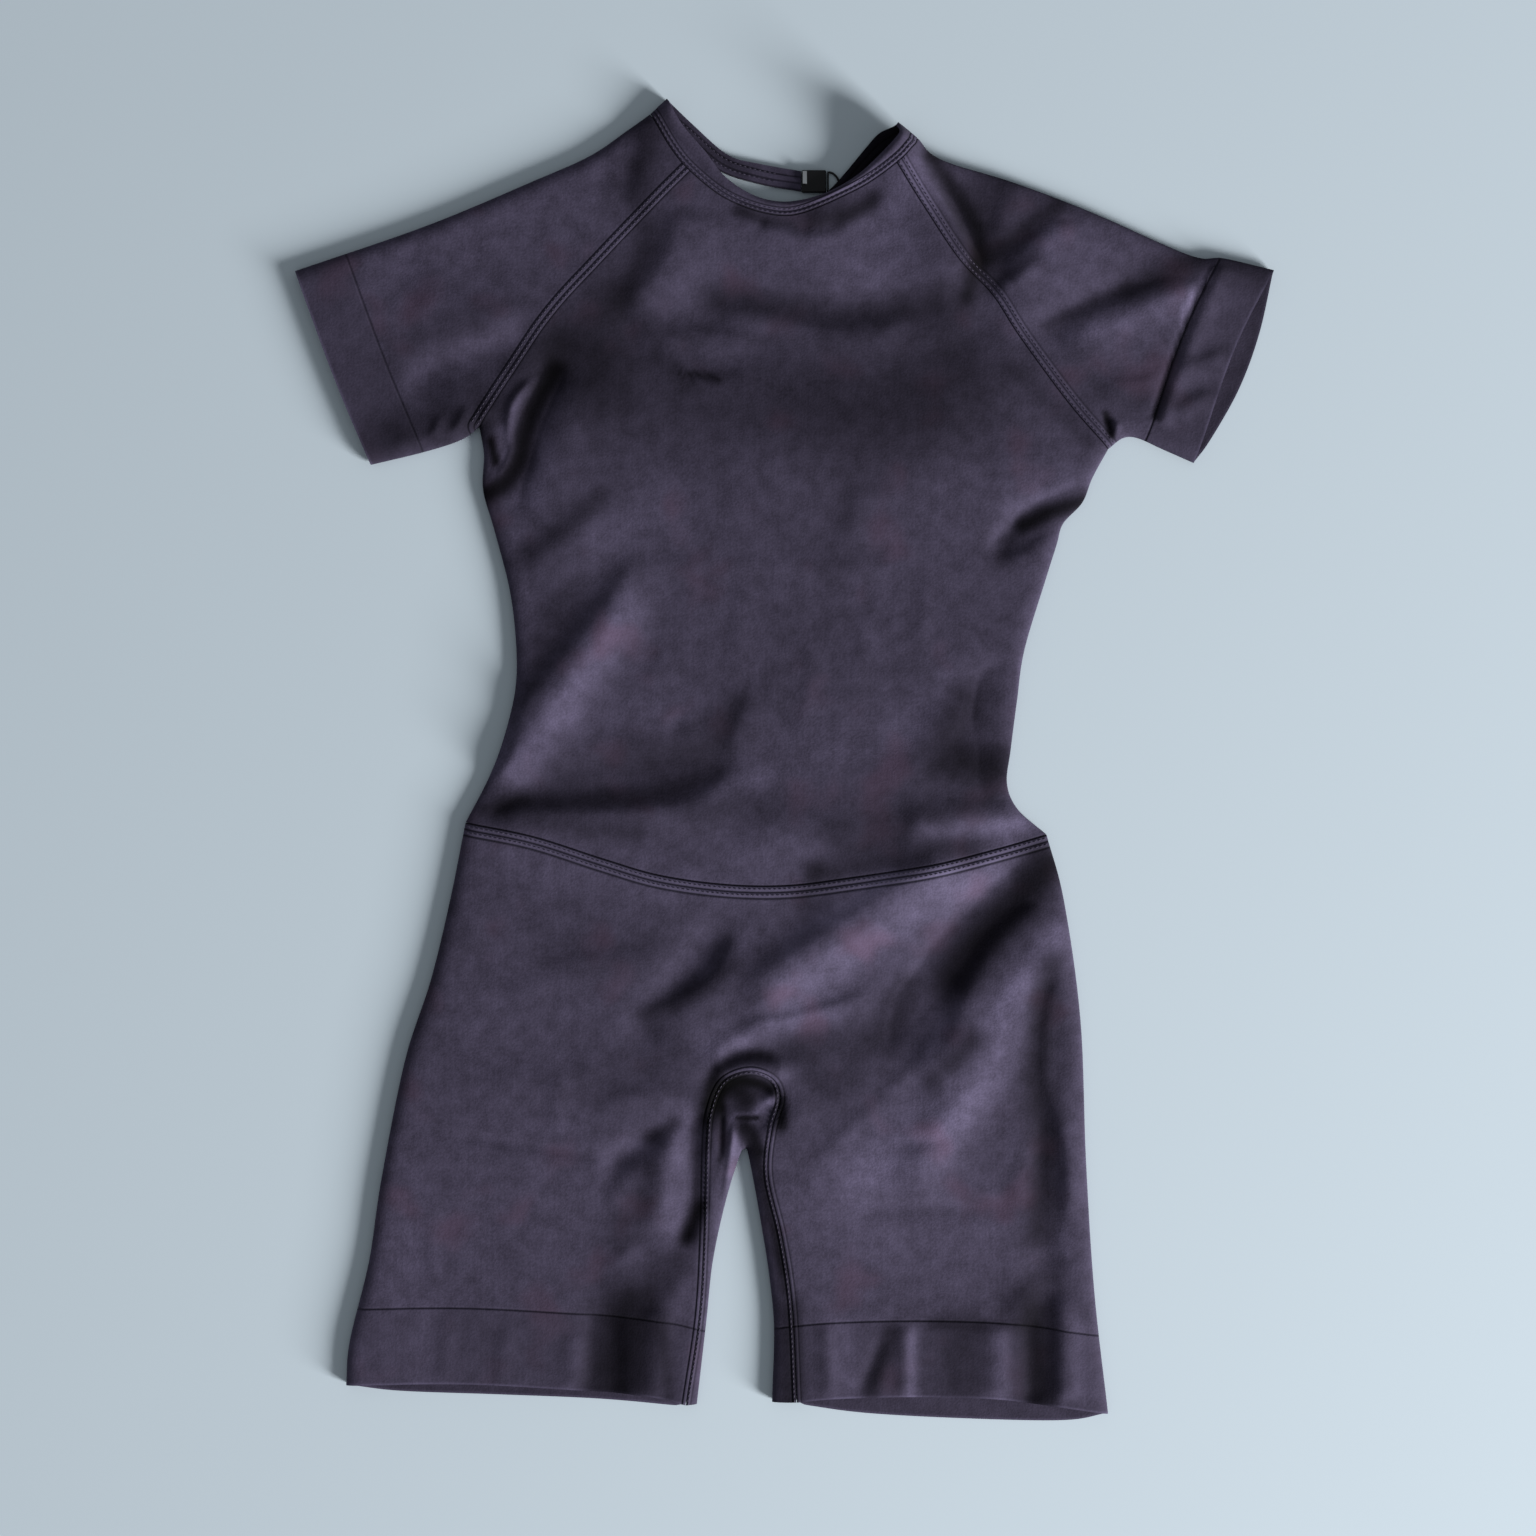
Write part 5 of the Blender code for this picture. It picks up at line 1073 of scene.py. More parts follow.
# %% Neck binding with its straps
BINDING_COLUMNS, STRAP_PLACES = 15, np.linspace(0, 1, 41)
BINDING_SEAM_SHARE, BINDING_SWELL, PEAK_FADE = 0.42, 0.8, 0.06


def peak_corner(peak, free_end):
    """The binding's sewn corner at a peak, half a gap in from the panels."""
    peak, free_end = np.array(peak), np.array(free_end)
    return peak + HALF_GAP * (free_end - peak) / np.linalg.norm(free_end - peak)


def strap_edge(strap_table, nape_table, corner):
    seam, free, _ = nape_split(strap_table, nape_table)
    shift = HALF_GAP if strap_table is RIGHT_STRAP_FOOT else -HALF_GAP
    return seam_edge([(seam, STRAP_SEAM_PLACES), (free, STRAP_PLACES)], shift, corner, None)


corners = (peak_corner(NECKLINE[0], NECK_EDGE[0]), peak_corner(NECKLINE[-1], NECK_EDGE[-1]))
front_foot, front_places = seam_edge(
    [(right_neck, PEAK_PLACES), (front_neck, NECK_PLACES), (left_neck, 1 - PEAK_PLACES[::-1])],
    HALF_GAP, *corners)
right_foot, right_places = strap_edge(RIGHT_STRAP_FOOT, RIGHT_NAPE_EDGE, corners[0])
left_foot, left_places = strap_edge(LEFT_STRAP_FOOT, LEFT_NAPE_EDGE, corners[1])
w = np.linspace(0, 1, BINDING_COLUMNS)[:, None, None]
peak_fade = np.clip(np.minimum(front_places, 1 - front_places) / PEAK_FADE, 0, 1)[None]
panels = []
for foot, free, height, below in (
        (right_foot[::-1], along(spline(RIGHT_STRAP_TOP), right_places)[::-1], back_height, True),
        (front_foot, along(spline(NECK_EDGE), front_places), front_height, False),
        (left_foot, along(spline(LEFT_STRAP_TOP), left_places), back_height, True)):
    grid = (1 - w) * foot[None] + w * free[None]
    seams = {"strap" if below else "neckline": ([foot], 1)}
    solid = raised(grid, height)
    if not below:
        past_seam = np.clip((w[:, :, 0] - BINDING_SEAM_SHARE) / (1 - BINDING_SEAM_SHARE), 0, 1)
        solid[:, :, 2] += BINDING_SWELL * np.sin(np.pi * past_seam) * peak_fade
    panels.append((grid, solid, below, seams))
to_end = (1 - left_places) * length(left_foot)
run = np.clip((STRAP_LIFT_START - to_end) / (STRAP_LIFT_START - STRAP_LIFT_END), 0, 1)
panels[-1][1][:, :, 2] += STRAP_LIFT * (run * run * (3 - 2 * run))[None]
neck_binding = cloth_piece("neck_binding_cloth", panels, BINDING_WALL)

# %% A new material
SHEEN_ROUGHNESS = 0.45


def new_material(name, roughness, sheen=0.0, metallic=0.0, specular=0.5):
    material = bpy.data.materials.new(name)
    material.use_nodes = True
    shader = material.node_tree.nodes["Principled BSDF"]
    for label, value in (("Roughness", roughness), ("Metallic", metallic), ("Sheen Weight", sheen),
                         ("Sheen Roughness", SHEEN_ROUGHNESS), ("Specular IOR Level", specular)):
        shader.inputs[label].default_value = value
    return material, shader


# %% [markdown]
# ## Stitches
#
# The panels are joined flat with a coverstitch, whose needle threads show as rows of short, plump
# stitches that follow the seam a few millimetres to one side. Geometry Nodes lays one capsule per
# stitch along each row, so that the spacing stays even on every curve. The rows are found on the
# same form as the cloth, and are sunk into it by a hair.

# %% Rows of stitches
STITCH_PITCH, STITCH_LENGTH, STITCH_RADIUS, STITCH_SINK = 2.7, 2.0, 0.24, 0.04
ROW_STEP, FEWEST_POINTS = 2, 8
THREAD_ROWS = {     # how far to the left of its seam each row of stitches lies
    "raglan": (1.3, 4.5), "waist": (-1.9, -5.2), "inseam": (-1.15,), "neckline": (1.15, 3.25),
    "strap": (3.0, 7.2)}


def stitch_rows(kind, table, height, ends=(1.0, 1.0)):
    """Points over the cloth along each row of a seam, without the seam's very ends."""
    rows = []
    for shift in THREAD_ROWS[kind]:
        line = inset(spline(table), shift)
        whole = length(line)
        count = max(int(whole / ROW_STEP), FEWEST_POINTS)
        line = along(line, np.linspace(ends[0] / whole, 1 - ends[1] / whole, count))
        offset = STITCH_RADIUS - STITCH_SINK
        offset = -offset if height is back_height else offset
        rows.append(np.column_stack([line, height(line) + offset]))
    return rows


def stitches(name, rows):
    """Every stitch of a piece's rows, as one plain mesh."""
    data = bpy.data.meshes.new(name)
    points, edges = [], []
    for row in rows:
        edges += [(len(points) + k, len(points) + k + 1) for k in range(len(row) - 1)]
        points += list(row * MM)
    data.from_pydata(points, edges, [])
    guide = placed(name, data)
    modifier = guide.modifiers.new("lay_stitches", "NODES")
    modifier.node_group = stitch_tree
    for label, value in (("Pitch", STITCH_PITCH), ("Length", STITCH_LENGTH),
                         ("Radius", STITCH_RADIUS)):
        modifier[stitch_inputs[label]] = value * MM
    evaluated = guide.evaluated_get(bpy.context.evaluated_depsgraph_get())
    plain = bpy.data.meshes.new_from_object(evaluated)
    guide.modifiers.remove(modifier)
    guide.data = plain
    plain.name = name
    plain.shade_smooth()
    print(f"{name}: {len(plain.polygons)} faces")
    return guide


# %% The tree that lays them
thread, shader = new_material("polyester_thread", 0.6, specular=0.25)
shader.inputs["Base Color"].default_value = (0.040, 0.034, 0.058, 1)

stitch_tree = bpy.data.node_groups.new("lay_stitches", "GeometryNodeTree")
stitch_tree.interface.new_socket("Geometry", in_out="INPUT", socket_type="NodeSocketGeometry")
stitch_inputs = {}
for label in ("Pitch", "Length", "Radius"):
    socket = stitch_tree.interface.new_socket(label, in_out="INPUT", socket_type="NodeSocketFloat")
    stitch_inputs[label] = socket.identifier
stitch_tree.interface.new_socket("Geometry", in_out="OUTPUT", socket_type="NodeSocketGeometry")


def tree_node(kind, **settings):
    node = stitch_tree.nodes.new(kind)
    for label, value in settings.items():
        setattr(node, label, value)
    return node


given, laid = tree_node("NodeGroupInput"), tree_node("NodeGroupOutput")
curve = tree_node("GeometryNodeMeshToCurve")
resampled = tree_node("GeometryNodeResampleCurve", mode="LENGTH")
capsule = tree_node("GeometryNodeMeshUVSphere")
for label, value in (("Segments", 6), ("Rings", 4), ("Radius", 1.0)):
    capsule.inputs[label].default_value = value
tangent = tree_node("GeometryNodeInputTangent")
turn = tree_node("FunctionNodeAlignEulerToVector", axis="X")
half = tree_node("ShaderNodeMath", operation="MULTIPLY")
half.inputs[1].default_value = 0.5
size = tree_node("ShaderNodeCombineXYZ")
instances = tree_node("GeometryNodeInstanceOnPoints")
realized = tree_node("GeometryNodeRealizeInstances")
painted = tree_node("GeometryNodeSetMaterial")
painted.inputs["Material"].default_value = thread
for source, target in (
        (given.outputs["Geometry"], curve.inputs[0]),
        (curve.outputs[0], resampled.inputs["Curve"]),
        (given.outputs["Pitch"], resampled.inputs["Length"]),
        (resampled.outputs[0], instances.inputs["Points"]),
        (capsule.outputs["Mesh"], instances.inputs["Instance"]),
        (tangent.outputs[0], turn.inputs["Vector"]),
        (turn.outputs[0], instances.inputs["Rotation"]),
        (given.outputs["Length"], half.inputs[0]),
        (half.outputs[0], size.inputs["X"]),
        (given.outputs["Radius"], size.inputs["Y"]),
        (given.outputs["Radius"], size.inputs["Z"]),
        (size.outputs[0], instances.inputs["Scale"]),
        (instances.outputs[0], realized.inputs[0]),
        (realized.outputs[0], painted.inputs["Geometry"]),
        (painted.outputs[0], laid.inputs[0])):
    stitch_tree.links.new(source, target)
print("tree", stitch_tree.name, "with", len(stitch_tree.nodes), "nodes")

# %% Lay the rows of each piece
right_sleeve_stitches = stitches(
    "sleeve_right_stitches", stitch_rows("raglan", RIGHT_RAGLAN, front_height)
    + stitch_rows("raglan", RIGHT_BACK_RAGLAN, back_height, (6, 2)))
left_sleeve_stitches = stitches(
    "sleeve_left_stitches", stitch_rows("raglan", LEFT_RAGLAN, front_height)
    + stitch_rows("raglan", LEFT_BACK_RAGLAN, back_height, (2, 6)))
waist_stitches = stitches(
    "waist_stitches", stitch_rows("waist", FRONT_WAIST, front_height, (2, 2))
    + stitch_rows("waist", BACK_WAIST, back_height, (2, 2)))
inseam_stitches = stitches(
    "inseam_stitches", stitch_rows("inseam", INSEAM_TABLE, front_height)
    + stitch_rows("inseam", INSEAM_TABLE, back_height))
binding_stitches = stitches(
    "binding_stitches", stitch_rows("neckline", NECKLINE, front_height, (3, 3))
    + stitch_rows("strap", RIGHT_STRAP_FOOT, strap_top, (14, 16)))

# %% [markdown]
# ## Clasp
#
# The right strap ends on a small moulded block with a hook under it; a pale metal bar holds the
# strap in the block. The left strap ends on a thin lacquered wire ring, which the hook holds.

# %% Clasp: block, bar and ring
def rounded_block(name, low, high, bevel, segments):
    low, high = np.array(low) * MM, np.array(high) * MM
    mesh = bmesh.new()
    bmesh.ops.create_cube(mesh, size=1)
    bmesh.ops.scale(mesh, vec=high - low, verts=mesh.verts)
    bmesh.ops.translate(mesh, vec=(low + high) / 2, verts=mesh.verts)
    bmesh.ops.bevel(mesh, geom=list(mesh.edges), offset=bevel * MM, segments=segments,
                    affect="EDGES", profile=0.5)
    data = bpy.data.meshes.new(name)
    mesh.to_mesh(data)
    mesh.free()
    data.shade_smooth()
    return placed(name, data)


HOOK_LOW, HOOK_HIGH = (9.3, 308.8, 0.0), (22.7, 321.0, 3.2)
BAR_LOW, BAR_HIGH = (9.8, 313.2, 3.5), (12.2, 320.2, 4.5)
RING_X, RING_Y, RING_BOW, RING_HALF = 23.7, 312.0, 6.4, 8.2
RING_WIRE, RING_CLEAR, RING_STEPS = 1.2, 0.05, 32
hook = rounded_block("clasp_hook_block", HOOK_LOW, HOOK_HIGH, 0.8, 5)
bar = rounded_block("clasp_bar_metal", BAR_LOW, BAR_HIGH, 0.35, 4)
angles = np.linspace(np.pi / 2, -np.pi / 2, RING_STEPS)
wire = bpy.data.curves.new("clasp_ring_wire", "CURVE")
wire.dimensions = "3D"
bow = wire.splines.new("POLY")
bow.points.add(RING_STEPS - 1)
for point, angle in zip(bow.points, angles):
    point.co = ((RING_X + RING_BOW * np.cos(angle)) * MM, (RING_Y + RING_HALF * np.sin(angle)) * MM,
                (RING_WIRE / 2 + RING_CLEAR) * MM, 1)
bow.use_cyclic_u = True
wire.bevel_depth = RING_WIRE / 2 * MM
wire.bevel_resolution = 4
ring = placed("clasp_ring_wire", wire)
print("ring", RING_STEPS, "points, wire", RING_WIRE, "mm")


# %% Finish of the clasp
MARK_STRENGTH, MARK_DEPTH = 0.3, 0.05


def worn_material(name, colour, worn, roughness, metallic, scale, specular=0.5):
    """A hard finish with fine handling marks in its colour and its surface."""
    material, shader = new_material(name, roughness, metallic=metallic, specular=specular)
    nodes, links = material.node_tree.nodes, material.node_tree.links
    place, marks = nodes.new("ShaderNodeTexCoord"), nodes.new("ShaderNodeTexNoise")
    marks.inputs["Scale"].default_value = scale
    marks.inputs["Detail"].default_value = 4.0
    links.new(place.outputs["Object"], marks.inputs["Vector"])
    mix = nodes.new("ShaderNodeMix")
    mix.data_type = "RGBA"
    mix.inputs["A"].default_value, mix.inputs["B"].default_value = (*colour, 1), (*worn, 1)
    links.new(marks.outputs["Fac"], mix.inputs["Factor"])
    links.new(mix.outputs["Result"], shader.inputs["Base Color"])
    bump = nodes.new("ShaderNodeBump")
    bump.inputs["Strength"].default_value = MARK_STRENGTH
    bump.inputs["Distance"].default_value = MARK_DEPTH * MM
    links.new(marks.outputs["Fac"], bump.inputs["Height"])
    links.new(bump.outputs["Normal"], shader.inputs["Normal"])
    return material


hook.data.materials.append(worn_material("hook_plastic", (0.004, 0.004, 0.005),
                                         (0.008, 0.008, 0.010), 0.42, 0.0, 1800.0, 0.25))
bar.data.materials.append(worn_material("bar_metal", (0.58, 0.60, 0.63), (0.46, 0.48, 0.50),
                                        0.30, 1.0, 2600.0))
wire.materials.append(worn_material("ring_lacquer", (0.005, 0.005, 0.007),
                                    (0.012, 0.012, 0.014), 0.33, 0.6, 2200.0))
print("clasp finishes:", hook.data.materials[0].name, bar.data.materials[0].name,
      wire.materials[0].name)

# %% [markdown]
# ## Cloth finish
#
# The cloth is a fine matt jersey in dark plum-grey. Two waves give its wales, which run up the
# garment, and its courses across. A small noise gives the flecks of the yarn, a larger one the
# mottling, and the largest the faint reddish patches. Gloss and sheen are next to nothing, so that
# the hollows stay dark. A picture could give all this too, but would have to be fitted to every
# panel, while noise in the object's own coordinates needs no fitting.

# %% Helpers for shader node groups
def node_group(name, inputs, outputs):
    group = bpy.data.node_groups.new(name, "ShaderNodeTree")
    for label, value in inputs:
        socket = group.interface.new_socket(label, in_out="INPUT", socket_type="NodeSocketFloat")
        socket.default_value = value
    for label in outputs:
        group.interface.new_socket(label, in_out="OUTPUT", socket_type="NodeSocketFloat")
    return group, group.nodes.new("NodeGroupInput"), group.nodes.new("NodeGroupOutput")


def maths(tree, operation, *values):
    """A maths node; each value is a number or another node's output."""
    node = tree.nodes.new("ShaderNodeMath")
    node.operation = operation
    for socket, value in zip(node.inputs, values):
        if hasattr(value, "is_linked"):
            tree.links.new(value, socket)
        else:
            socket.default_value = value
    return node.outputs[0]


def ranged(tree, value, low, high, smooth=False):
    """That value brought to 0 at low and 1 at high, and held there beyond them."""
    node = tree.nodes.new("ShaderNodeMapRange")
    node.interpolation_type = "SMOOTHSTEP" if smooth else "LINEAR"
    node.inputs["From Min"].default_value = low
    node.inputs["From Max"].default_value = high
    tree.links.new(value, node.inputs["Value"])
    return node.outputs["Result"]


def bell(tree, distance, place, width):
    """1 on a line at that place across a seam, running out softly over its width."""
    share = maths(tree, "DIVIDE", maths(tree, "SUBTRACT", distance, place), width)
    return maths(tree, "EXPONENT", maths(tree, "MULTIPLY", maths(tree, "MULTIPLY", share, share), -1))


# %% Stitched lines, as a shared group
seam_profile, given, result = node_group(
    "stitched_seam", [("Distance", NO_SEAM), ("Line 1", 0.2), ("Line 2", 3.0), ("Line 3", 6.0),
                      ("Line width", 0.6), ("Groove", 0.3), ("Band rise", 0.4)],
    ["Height", "Lines", "Band"])
BAND_EDGE = 0.9
lines = [bell(seam_profile, given.outputs["Distance"], given.outputs[f"Line {k}"],
              given.outputs["Line width"]) for k in (1, 2, 3)]
deepest = maths(seam_profile, "MAXIMUM", maths(seam_profile, "MAXIMUM", *lines[:2]), lines[2])
start = maths(seam_profile, "SUBTRACT", given.outputs["Distance"], given.outputs["Line 1"])
end = maths(seam_profile, "SUBTRACT", given.outputs["Line 3"], given.outputs["Distance"])
band = ranged(seam_profile, maths(seam_profile, "MINIMUM", start, end), -BAND_EDGE, BAND_EDGE,
              smooth=True)
rise = maths(seam_profile, "MULTIPLY", band, given.outputs["Band rise"])
groove = maths(seam_profile, "MULTIPLY", deepest, given.outputs["Groove"])
seam_profile.links.new(maths(seam_profile, "SUBTRACT", rise, groove), result.inputs["Height"])
seam_profile.links.new(deepest, result.inputs["Lines"])
seam_profile.links.new(band, result.inputs["Band"])
print("group", seam_profile.name, "with", len(seam_profile.nodes), "nodes")

# %% The knit itself, as a shared group
WALE_RELIEF, COURSE_RELIEF, FLECK_RELIEF, MOTTLE_RELIEF = 0.012, 0.010, 0.10, 0.22
FLECK_PALER, MOTTLE_PALER = 0.34, 0.5
jersey_knit, given, result = node_group(
    "jersey_knit", [("Wale pitch", 0.65), ("Course pitch", 0.45), ("Fleck", 1.1), ("Mottle", 9.0),
                    ("Patch", 38.0)],
    ["Height", "Paler", "Warmer"])
place = jersey_knit.nodes.new("ShaderNodeTexCoord")
split = jersey_knit.nodes.new("ShaderNodeSeparateXYZ")
jersey_knit.links.new(place.outputs["Object"], split.inputs["Vector"])


def knit_noise(size, detail):
    texture = jersey_knit.nodes.new("ShaderNodeTexNoise")
    texture.inputs["Detail"].default_value = detail
    jersey_knit.links.new(place.outputs["Object"], texture.inputs["Vector"])
    jersey_knit.links.new(maths(jersey_knit, "DIVIDE", 1 / MM, given.outputs[size]),
                          texture.inputs["Scale"])
    return texture.outputs["Fac"]


def knit_wave(axis, pitch):
    turns = maths(jersey_knit, "DIVIDE", split.outputs[axis], maths(
        jersey_knit, "MULTIPLY", given.outputs[pitch], MM))
    return maths(jersey_knit, "SINE", maths(jersey_knit, "MULTIPLY", turns, 2 * np.pi))


def knit_sum(*parts):
    """The sum of some values of the knit, each times its own amount."""
    total = None
    for value, amount in parts:
        part = maths(jersey_knit, "MULTIPLY", value, amount)
        total = part if total is None else maths(jersey_knit, "ADD", total, part)
    return total


fleck, mottle = knit_noise("Fleck", 1.0), knit_noise("Mottle", 3.0)
patches = knit_noise("Patch", 2.0)
for value, label in (
        (knit_sum((knit_wave("X", "Wale pitch"), WALE_RELIEF),
                  (knit_wave("Y", "Course pitch"), COURSE_RELIEF),
                  (fleck, FLECK_RELIEF), (mottle, MOTTLE_RELIEF)), "Height"),
        (knit_sum((ranged(jersey_knit, fleck, 0.3, 0.7), FLECK_PALER),
                  (ranged(jersey_knit, mottle, 0.32, 0.72), MOTTLE_PALER)), "Paler"),
        (ranged(jersey_knit, patches, 0.57, 0.74, smooth=True), "Warmer")):
    jersey_knit.links.new(value, result.inputs[label])
print("group", jersey_knit.name, "with", len(jersey_knit.nodes), "nodes")

# %% Where the lines of each seam lie, in millimetres across it
SEAM_LINES = {
    # seam:    line 1, line 2, line 3, width, groove, rise, painted shadow of the lines, painted highlight of the band
    "raglan": (0.0, 2.9, 6.0, 0.50, 0.28, 0.45, 0.55, 0.42),
    "waist": (0.2, 3.6, 6.9, 0.60, 0.40, 0.35, 0.85, 0.50),
    "neckline": (0.1, 2.2, 4.3, 0.42, 0.30, 0.30, 0.65, 0.45),
    "inseam": (-2.3, 0.0, 2.3, 0.50, 0.30, 0.45, 0.60, 0.20),
    "strap": (0.3, 4.0, 7.4, 0.50, 0.28, 0.25, 0.60, 0.20),
}
WELT_DEPTHS = {"sleeve_jersey": 29.0, "shorts_jersey": 41.5, "gusset_jersey": 41.5}
WELT_LINE, HEM_EDGE, HEM_EDGE_WIDTH = 0.6, 0.4, 0.7
WELT_RISE, WELT_GROOVE = 0.25, 0.3
# the second and third: painted highlight on the hem edge, painted shadow in the welt line
WELT_DEEPER, HEM_EDGE_HIGHLIGHT, WELT_LINE_DARKER = 0.30, 0.75, 0.55
print(len(SEAM_LINES), "kinds of seam, welts", sorted(set(WELT_DEPTHS.values())), "mm deep")

# %% Cloth of one piece
CLOTH_ROUGHNESS, CLOTH_SHEEN, CLOTH_SPECULAR, PATCHES_WARMER = 0.8, 0.02, 0.04, 0.45
DARK_YARN, LIGHT_YARN = (0.0325, 0.0280, 0.0465), (0.0690, 0.0595, 0.1000)
# the second is the colour of painted highlights on seam bands and hem edges
WARM_YARN, PAINTED_HIGHLIGHT_YARN = (0.064, 0.038, 0.064), (0.077, 0.067, 0.113)
SHADOW = (0.003, 0.003, 0.005)


def cloth_material(name, seams):
    """Fine jersey in two shades of its colour, with faint warm patches, its seams' lines and painted
    light and shade.
    """
    material, shader = new_material(name, CLOTH_ROUGHNESS, CLOTH_SHEEN, specular=CLOTH_SPECULAR)
    tree = material.node_tree
    nodes, links = tree.nodes, tree.links

    def mixed(factor, first, second):
        mix = nodes.new("ShaderNodeMix")
        mix.data_type = "RGBA"
        for socket, value in ((mix.inputs["Factor"], factor), (mix.inputs["A"], first),
                              (mix.inputs["B"], second)):
            if hasattr(value, "is_linked"):
                links.new(value, socket)
            else:
                socket.default_value = (*value, 1)
        return mix.outputs["Result"]

    def tinted(colour, amount, share, other):
        return mixed(maths(tree, "MULTIPLY", amount, share), colour, other)

    knit = nodes.new("ShaderNodeGroup")
    knit.node_tree = jersey_knit
    yarn = mixed(knit.outputs["Paler"], DARK_YARN, LIGHT_YARN)
    yarn = tinted(yarn, knit.outputs["Warmer"], PATCHES_WARMER, WARM_YARN)
    height = knit.outputs["Height"]
    for label in seams:
        distance = nodes.new("ShaderNodeAttribute")
        distance.attribute_name = label
        if label == "welt":
            across = distance.outputs["Fac"]
            depth = WELT_DEPTHS[name]
            line = bell(tree, across, depth, WELT_LINE)
            hem_edge = bell(tree, across, HEM_EDGE, HEM_EDGE_WIDTH)
            inner = ranged(tree, across, depth + WELT_LINE, depth - WELT_LINE)
            yarn = tinted(yarn, inner, WELT_DEEPER, DARK_YARN)
            # painted highlight along the folded hem edge, and painted shadow in the welt line's
            # groove
            yarn = tinted(yarn, hem_edge, HEM_EDGE_HIGHLIGHT, PAINTED_HIGHLIGHT_YARN)
            yarn = tinted(yarn, line, WELT_LINE_DARKER, SHADOW)
            height = maths(tree, "ADD", height, maths(tree, "MULTIPLY", inner, WELT_RISE))
            height = maths(tree, "SUBTRACT", height, maths(tree, "MULTIPLY", line, WELT_GROOVE))
            continue
        profile = nodes.new("ShaderNodeGroup")
        profile.node_tree = seam_profile
        links.new(distance.outputs["Fac"], profile.inputs["Distance"])
        *numbers, line_shadow, band_highlight = SEAM_LINES[label]
        for socket, value in zip(list(profile.inputs)[1:], numbers):
            socket.default_value = value
        height = maths(tree, "ADD", height, profile.outputs["Height"])
        # painted highlight on the raised band, and painted shadow in the grooves of the stitch lines
        yarn = tinted(yarn, profile.outputs["Band"], band_highlight, PAINTED_HIGHLIGHT_YARN)
        yarn = tinted(yarn, profile.outputs["Lines"], line_shadow, SHADOW)
    # painted light and shade: each point's factor deepens or pales the yarn's colour
    painted_tone = nodes.new("ShaderNodeAttribute")
    painted_tone.attribute_name = "painted_shading"
    yarn_with_painted_shade = nodes.new("ShaderNodeVectorMath")
    yarn_with_painted_shade.operation = "SCALE"
    links.new(yarn, yarn_with_painted_shade.inputs[0])
    links.new(painted_tone.outputs["Fac"], yarn_with_painted_shade.inputs["Scale"])
    links.new(yarn_with_painted_shade.outputs["Vector"], shader.inputs["Base Color"])
    bump = nodes.new("ShaderNodeBump")
    bump.inputs["Strength"].default_value = 1.0
    bump.inputs["Distance"].default_value = MM
    links.new(height, bump.inputs["Height"])
    links.new(bump.outputs["Normal"], shader.inputs["Normal"])
    return material


for name, seams, pieces in (
        ("bodice_jersey", ("raglan", "waist", "neckline"), (bodice_front, bodice_back)),
        ("sleeve_jersey", ("raglan", "neckline", "welt"), (sleeve_right, sleeve_left)),
        ("shorts_jersey", ("waist", "inseam", "welt"), (shorts,)),
        ("gusset_jersey", ("inseam", "welt"), (gusset,)),
        ("binding_jersey", ("neckline", "strap"), (neck_binding,))):
    jersey = cloth_material(name, seams)
    for piece in pieces:
        piece.data.materials.append(jersey)
    print(name, "on", ", ".join(piece.name for piece in pieces))

# %% [markdown]
# ## Floor, light and camera
#
# The garment lies on a smooth pale surface and is seen straight from above. A low, soft light from
# the right and from below the hems draws the creases, and a pale room fills the shadows. A lamp
# straight above would hide the creases, because they are only a millimetre or two deep.

# %% Floor
FLOOR_COLOUR, FLOOR_SIZE, FLOOR_DROP = (0.50, 0.58, 0.645), 6.0, 0.0004
bpy.ops.mesh.primitive_plane_add(size=FLOOR_SIZE, location=(0, 0, -FLOOR_DROP))
floor = bpy.context.object
floor.name = "floor"
floor_material, shader = new_material("floor_surface", 0.9, specular=0.08)
shader.inputs["Base Color"].default_value = (*FLOOR_COLOUR, 1)
floor.data.materials.append(floor_material)
print("floor", FLOOR_SIZE, "m wide")

# %% Light
LIGHT_FROM, LIGHT_SIDE, LIGHT_WATTS = Vector((3.9, -2.65, 1.38)), 1.65, 655.0
LIGHT_COLOUR, ROOM_COLOUR, ROOM_STRENGTH = (1.0, 0.985, 0.97), (0.92, 0.965, 1.0), 0.28
key = bpy.data.lights.new("soft_window", "AREA")
key.shape = "RECTANGLE"
key.size, key.size_y = LIGHT_SIDE, LIGHT_SIDE
key.energy = LIGHT_WATTS
key.color = LIGHT_COLOUR
key_light = placed("soft_window", key)
key_light.location = LIGHT_FROM
key_light.rotation_euler = LIGHT_FROM.to_track_quat("Z", "Y").to_euler()
world = bpy.data.worlds.new("pale_room")
world.use_nodes = True
world.node_tree.nodes["Background"].inputs["Color"].default_value = (*ROOM_COLOUR, 1)
world.node_tree.nodes["Background"].inputs["Strength"].default_value = ROOM_STRENGTH
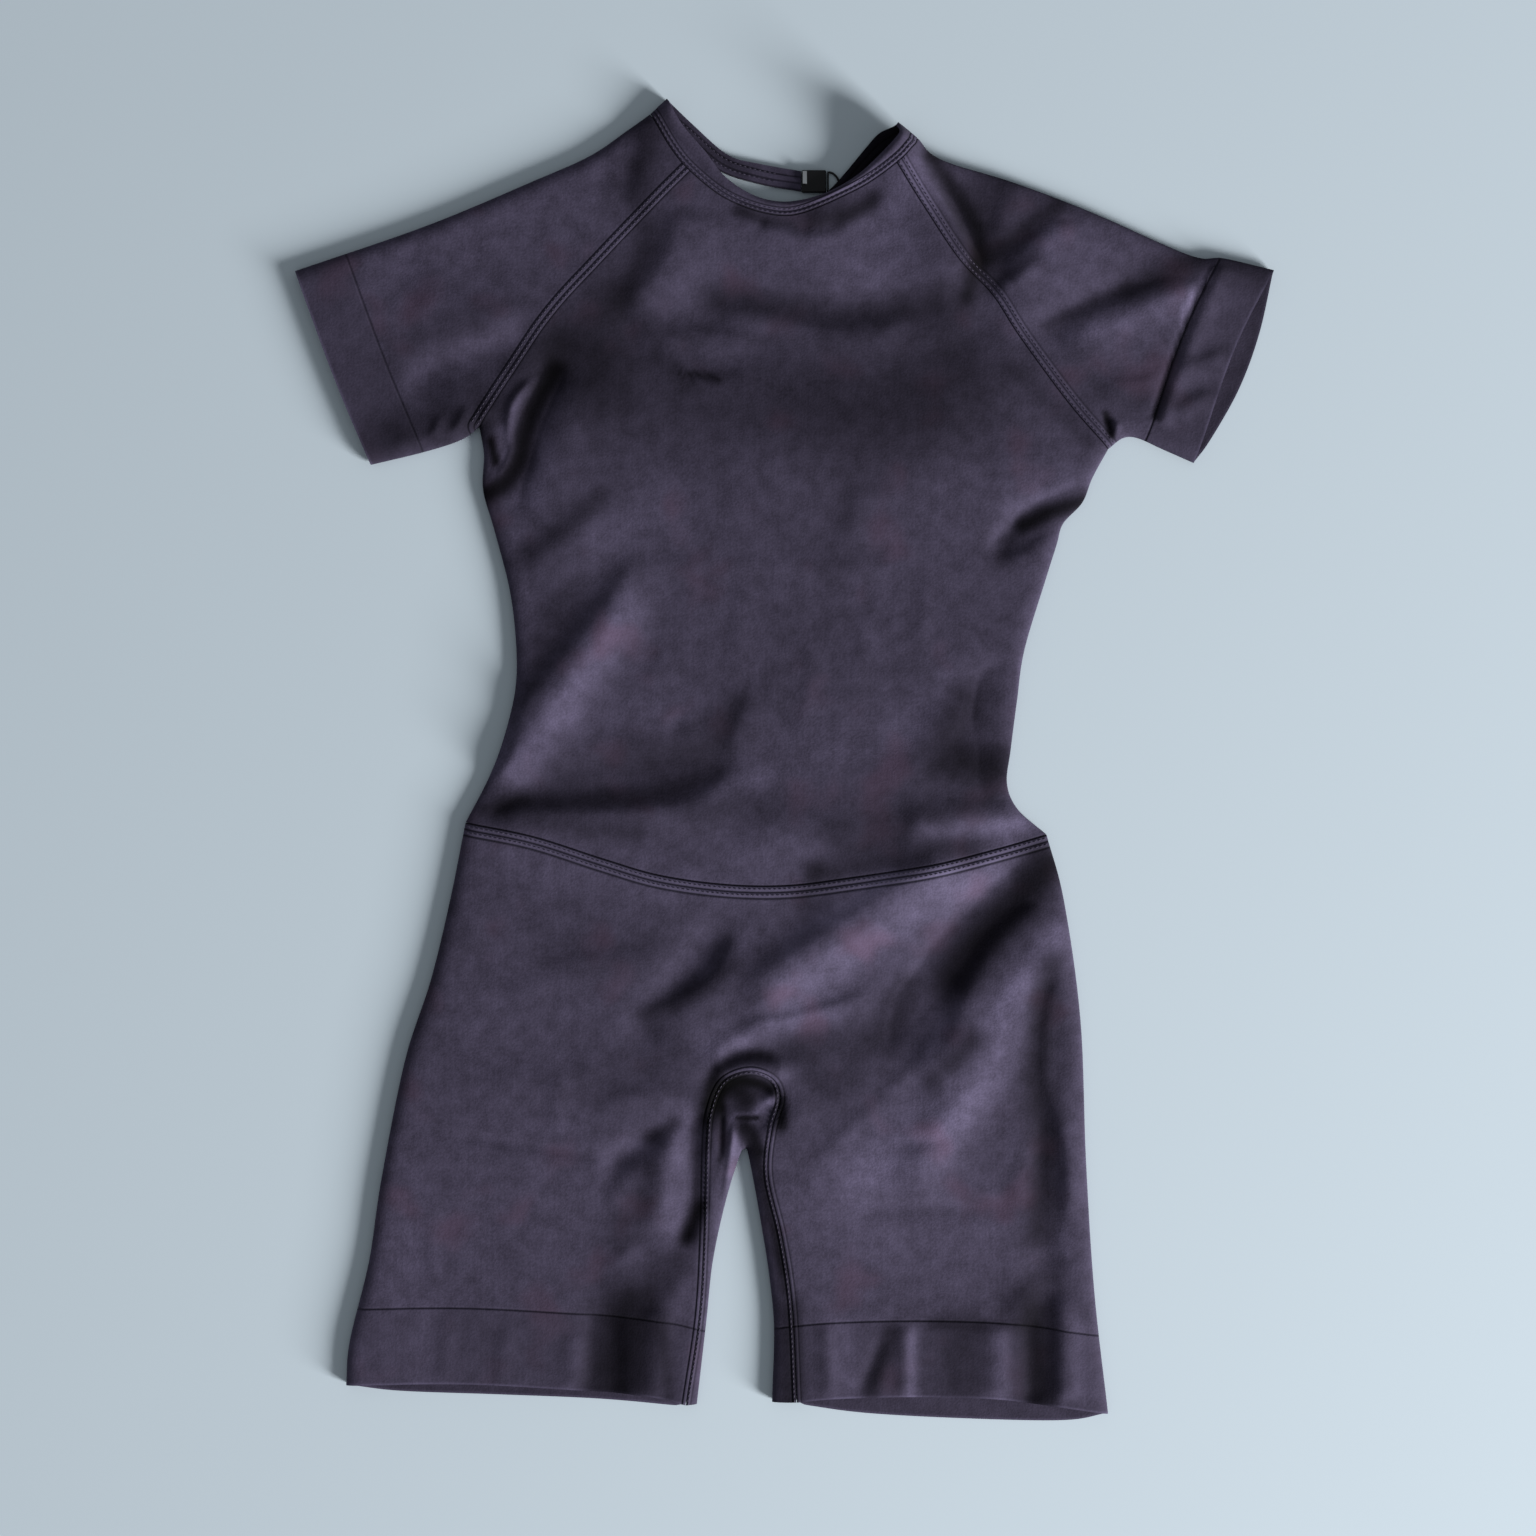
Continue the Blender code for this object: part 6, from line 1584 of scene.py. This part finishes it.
bpy.context.scene.world = world
bpy.context.scene.view_settings.view_transform = "Standard"
print("light", round(LIGHT_FROM.length, 2), "m away, room", ROOM_STRENGTH)

# %% Camera
PIXELS, PIXEL = 1536, 0.545         # the frame's width, and the millimetres that one pixel shows
ORIGIN_X, ORIGIN_Y = 784.5, 760     # the pixel over the garment's origin
CAMERA_HEIGHT = 1.6
lens = bpy.data.cameras.new("camera")
lens.sensor_width = 36.0
lens.lens = lens.sensor_width * CAMERA_HEIGHT / (PIXELS * PIXEL * MM)
camera = placed("camera", lens)
camera.location = ((PIXELS / 2 - ORIGIN_X) * PIXEL * MM, (ORIGIN_Y - PIXELS / 2) * PIXEL * MM,
                   CAMERA_HEIGHT)
bpy.context.scene.camera = camera
print("camera", tuple(camera.location), "lens", round(lens.lens, 1))

# %% [markdown]
# ## Pieces on the body
#
# Every piece rides on the one body and stands for its solid, which is hidden. The table also lists
# the size that each was cut or knitted to.

# %% Pieces, bodies and sheets
SHEETS = [
    # piece, node, slot, flat width and length, flat area, stitches on it
    (bodice_front, "bodice_front", "knit", (0.35, 0.391), 0.101, None),
    (bodice_back, "bodice_back", "knit", (0.35, 0.305), 0.0456, None),
    (sleeve_right, "sleeve_right", "knit", (0.33, 0.20), 0.0372, right_sleeve_stitches),
    (sleeve_left, "sleeve_left", "knit", (0.33, 0.20), 0.0348, left_sleeve_stitches),
    (shorts, "shorts", "knit", (0.70, 0.325), 0.2105, waist_stitches),
    (gusset, "inner_leg_gusset", "knit", (0.05, 0.37), 0.0084, inseam_stitches),
    (neck_binding, "neck_binding", "binding", (0.0115, 0.36), 0.0040, binding_stitches),
]
for piece, node, slot, flat, area, sewing in SHEETS:
    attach(piece, "root")
    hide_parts(node)
    if sewing is not None:
        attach(sewing, "root")
for piece, node, slot in ((hook, "clasp_hook", "hook"), (bar, "clasp_bar", "bar"),
                          (ring, "clasp_ring", "ring")):
    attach(piece, "root")
    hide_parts(node)
print(len(SHEETS), "sheets and the clasp's three pieces ride on the root")
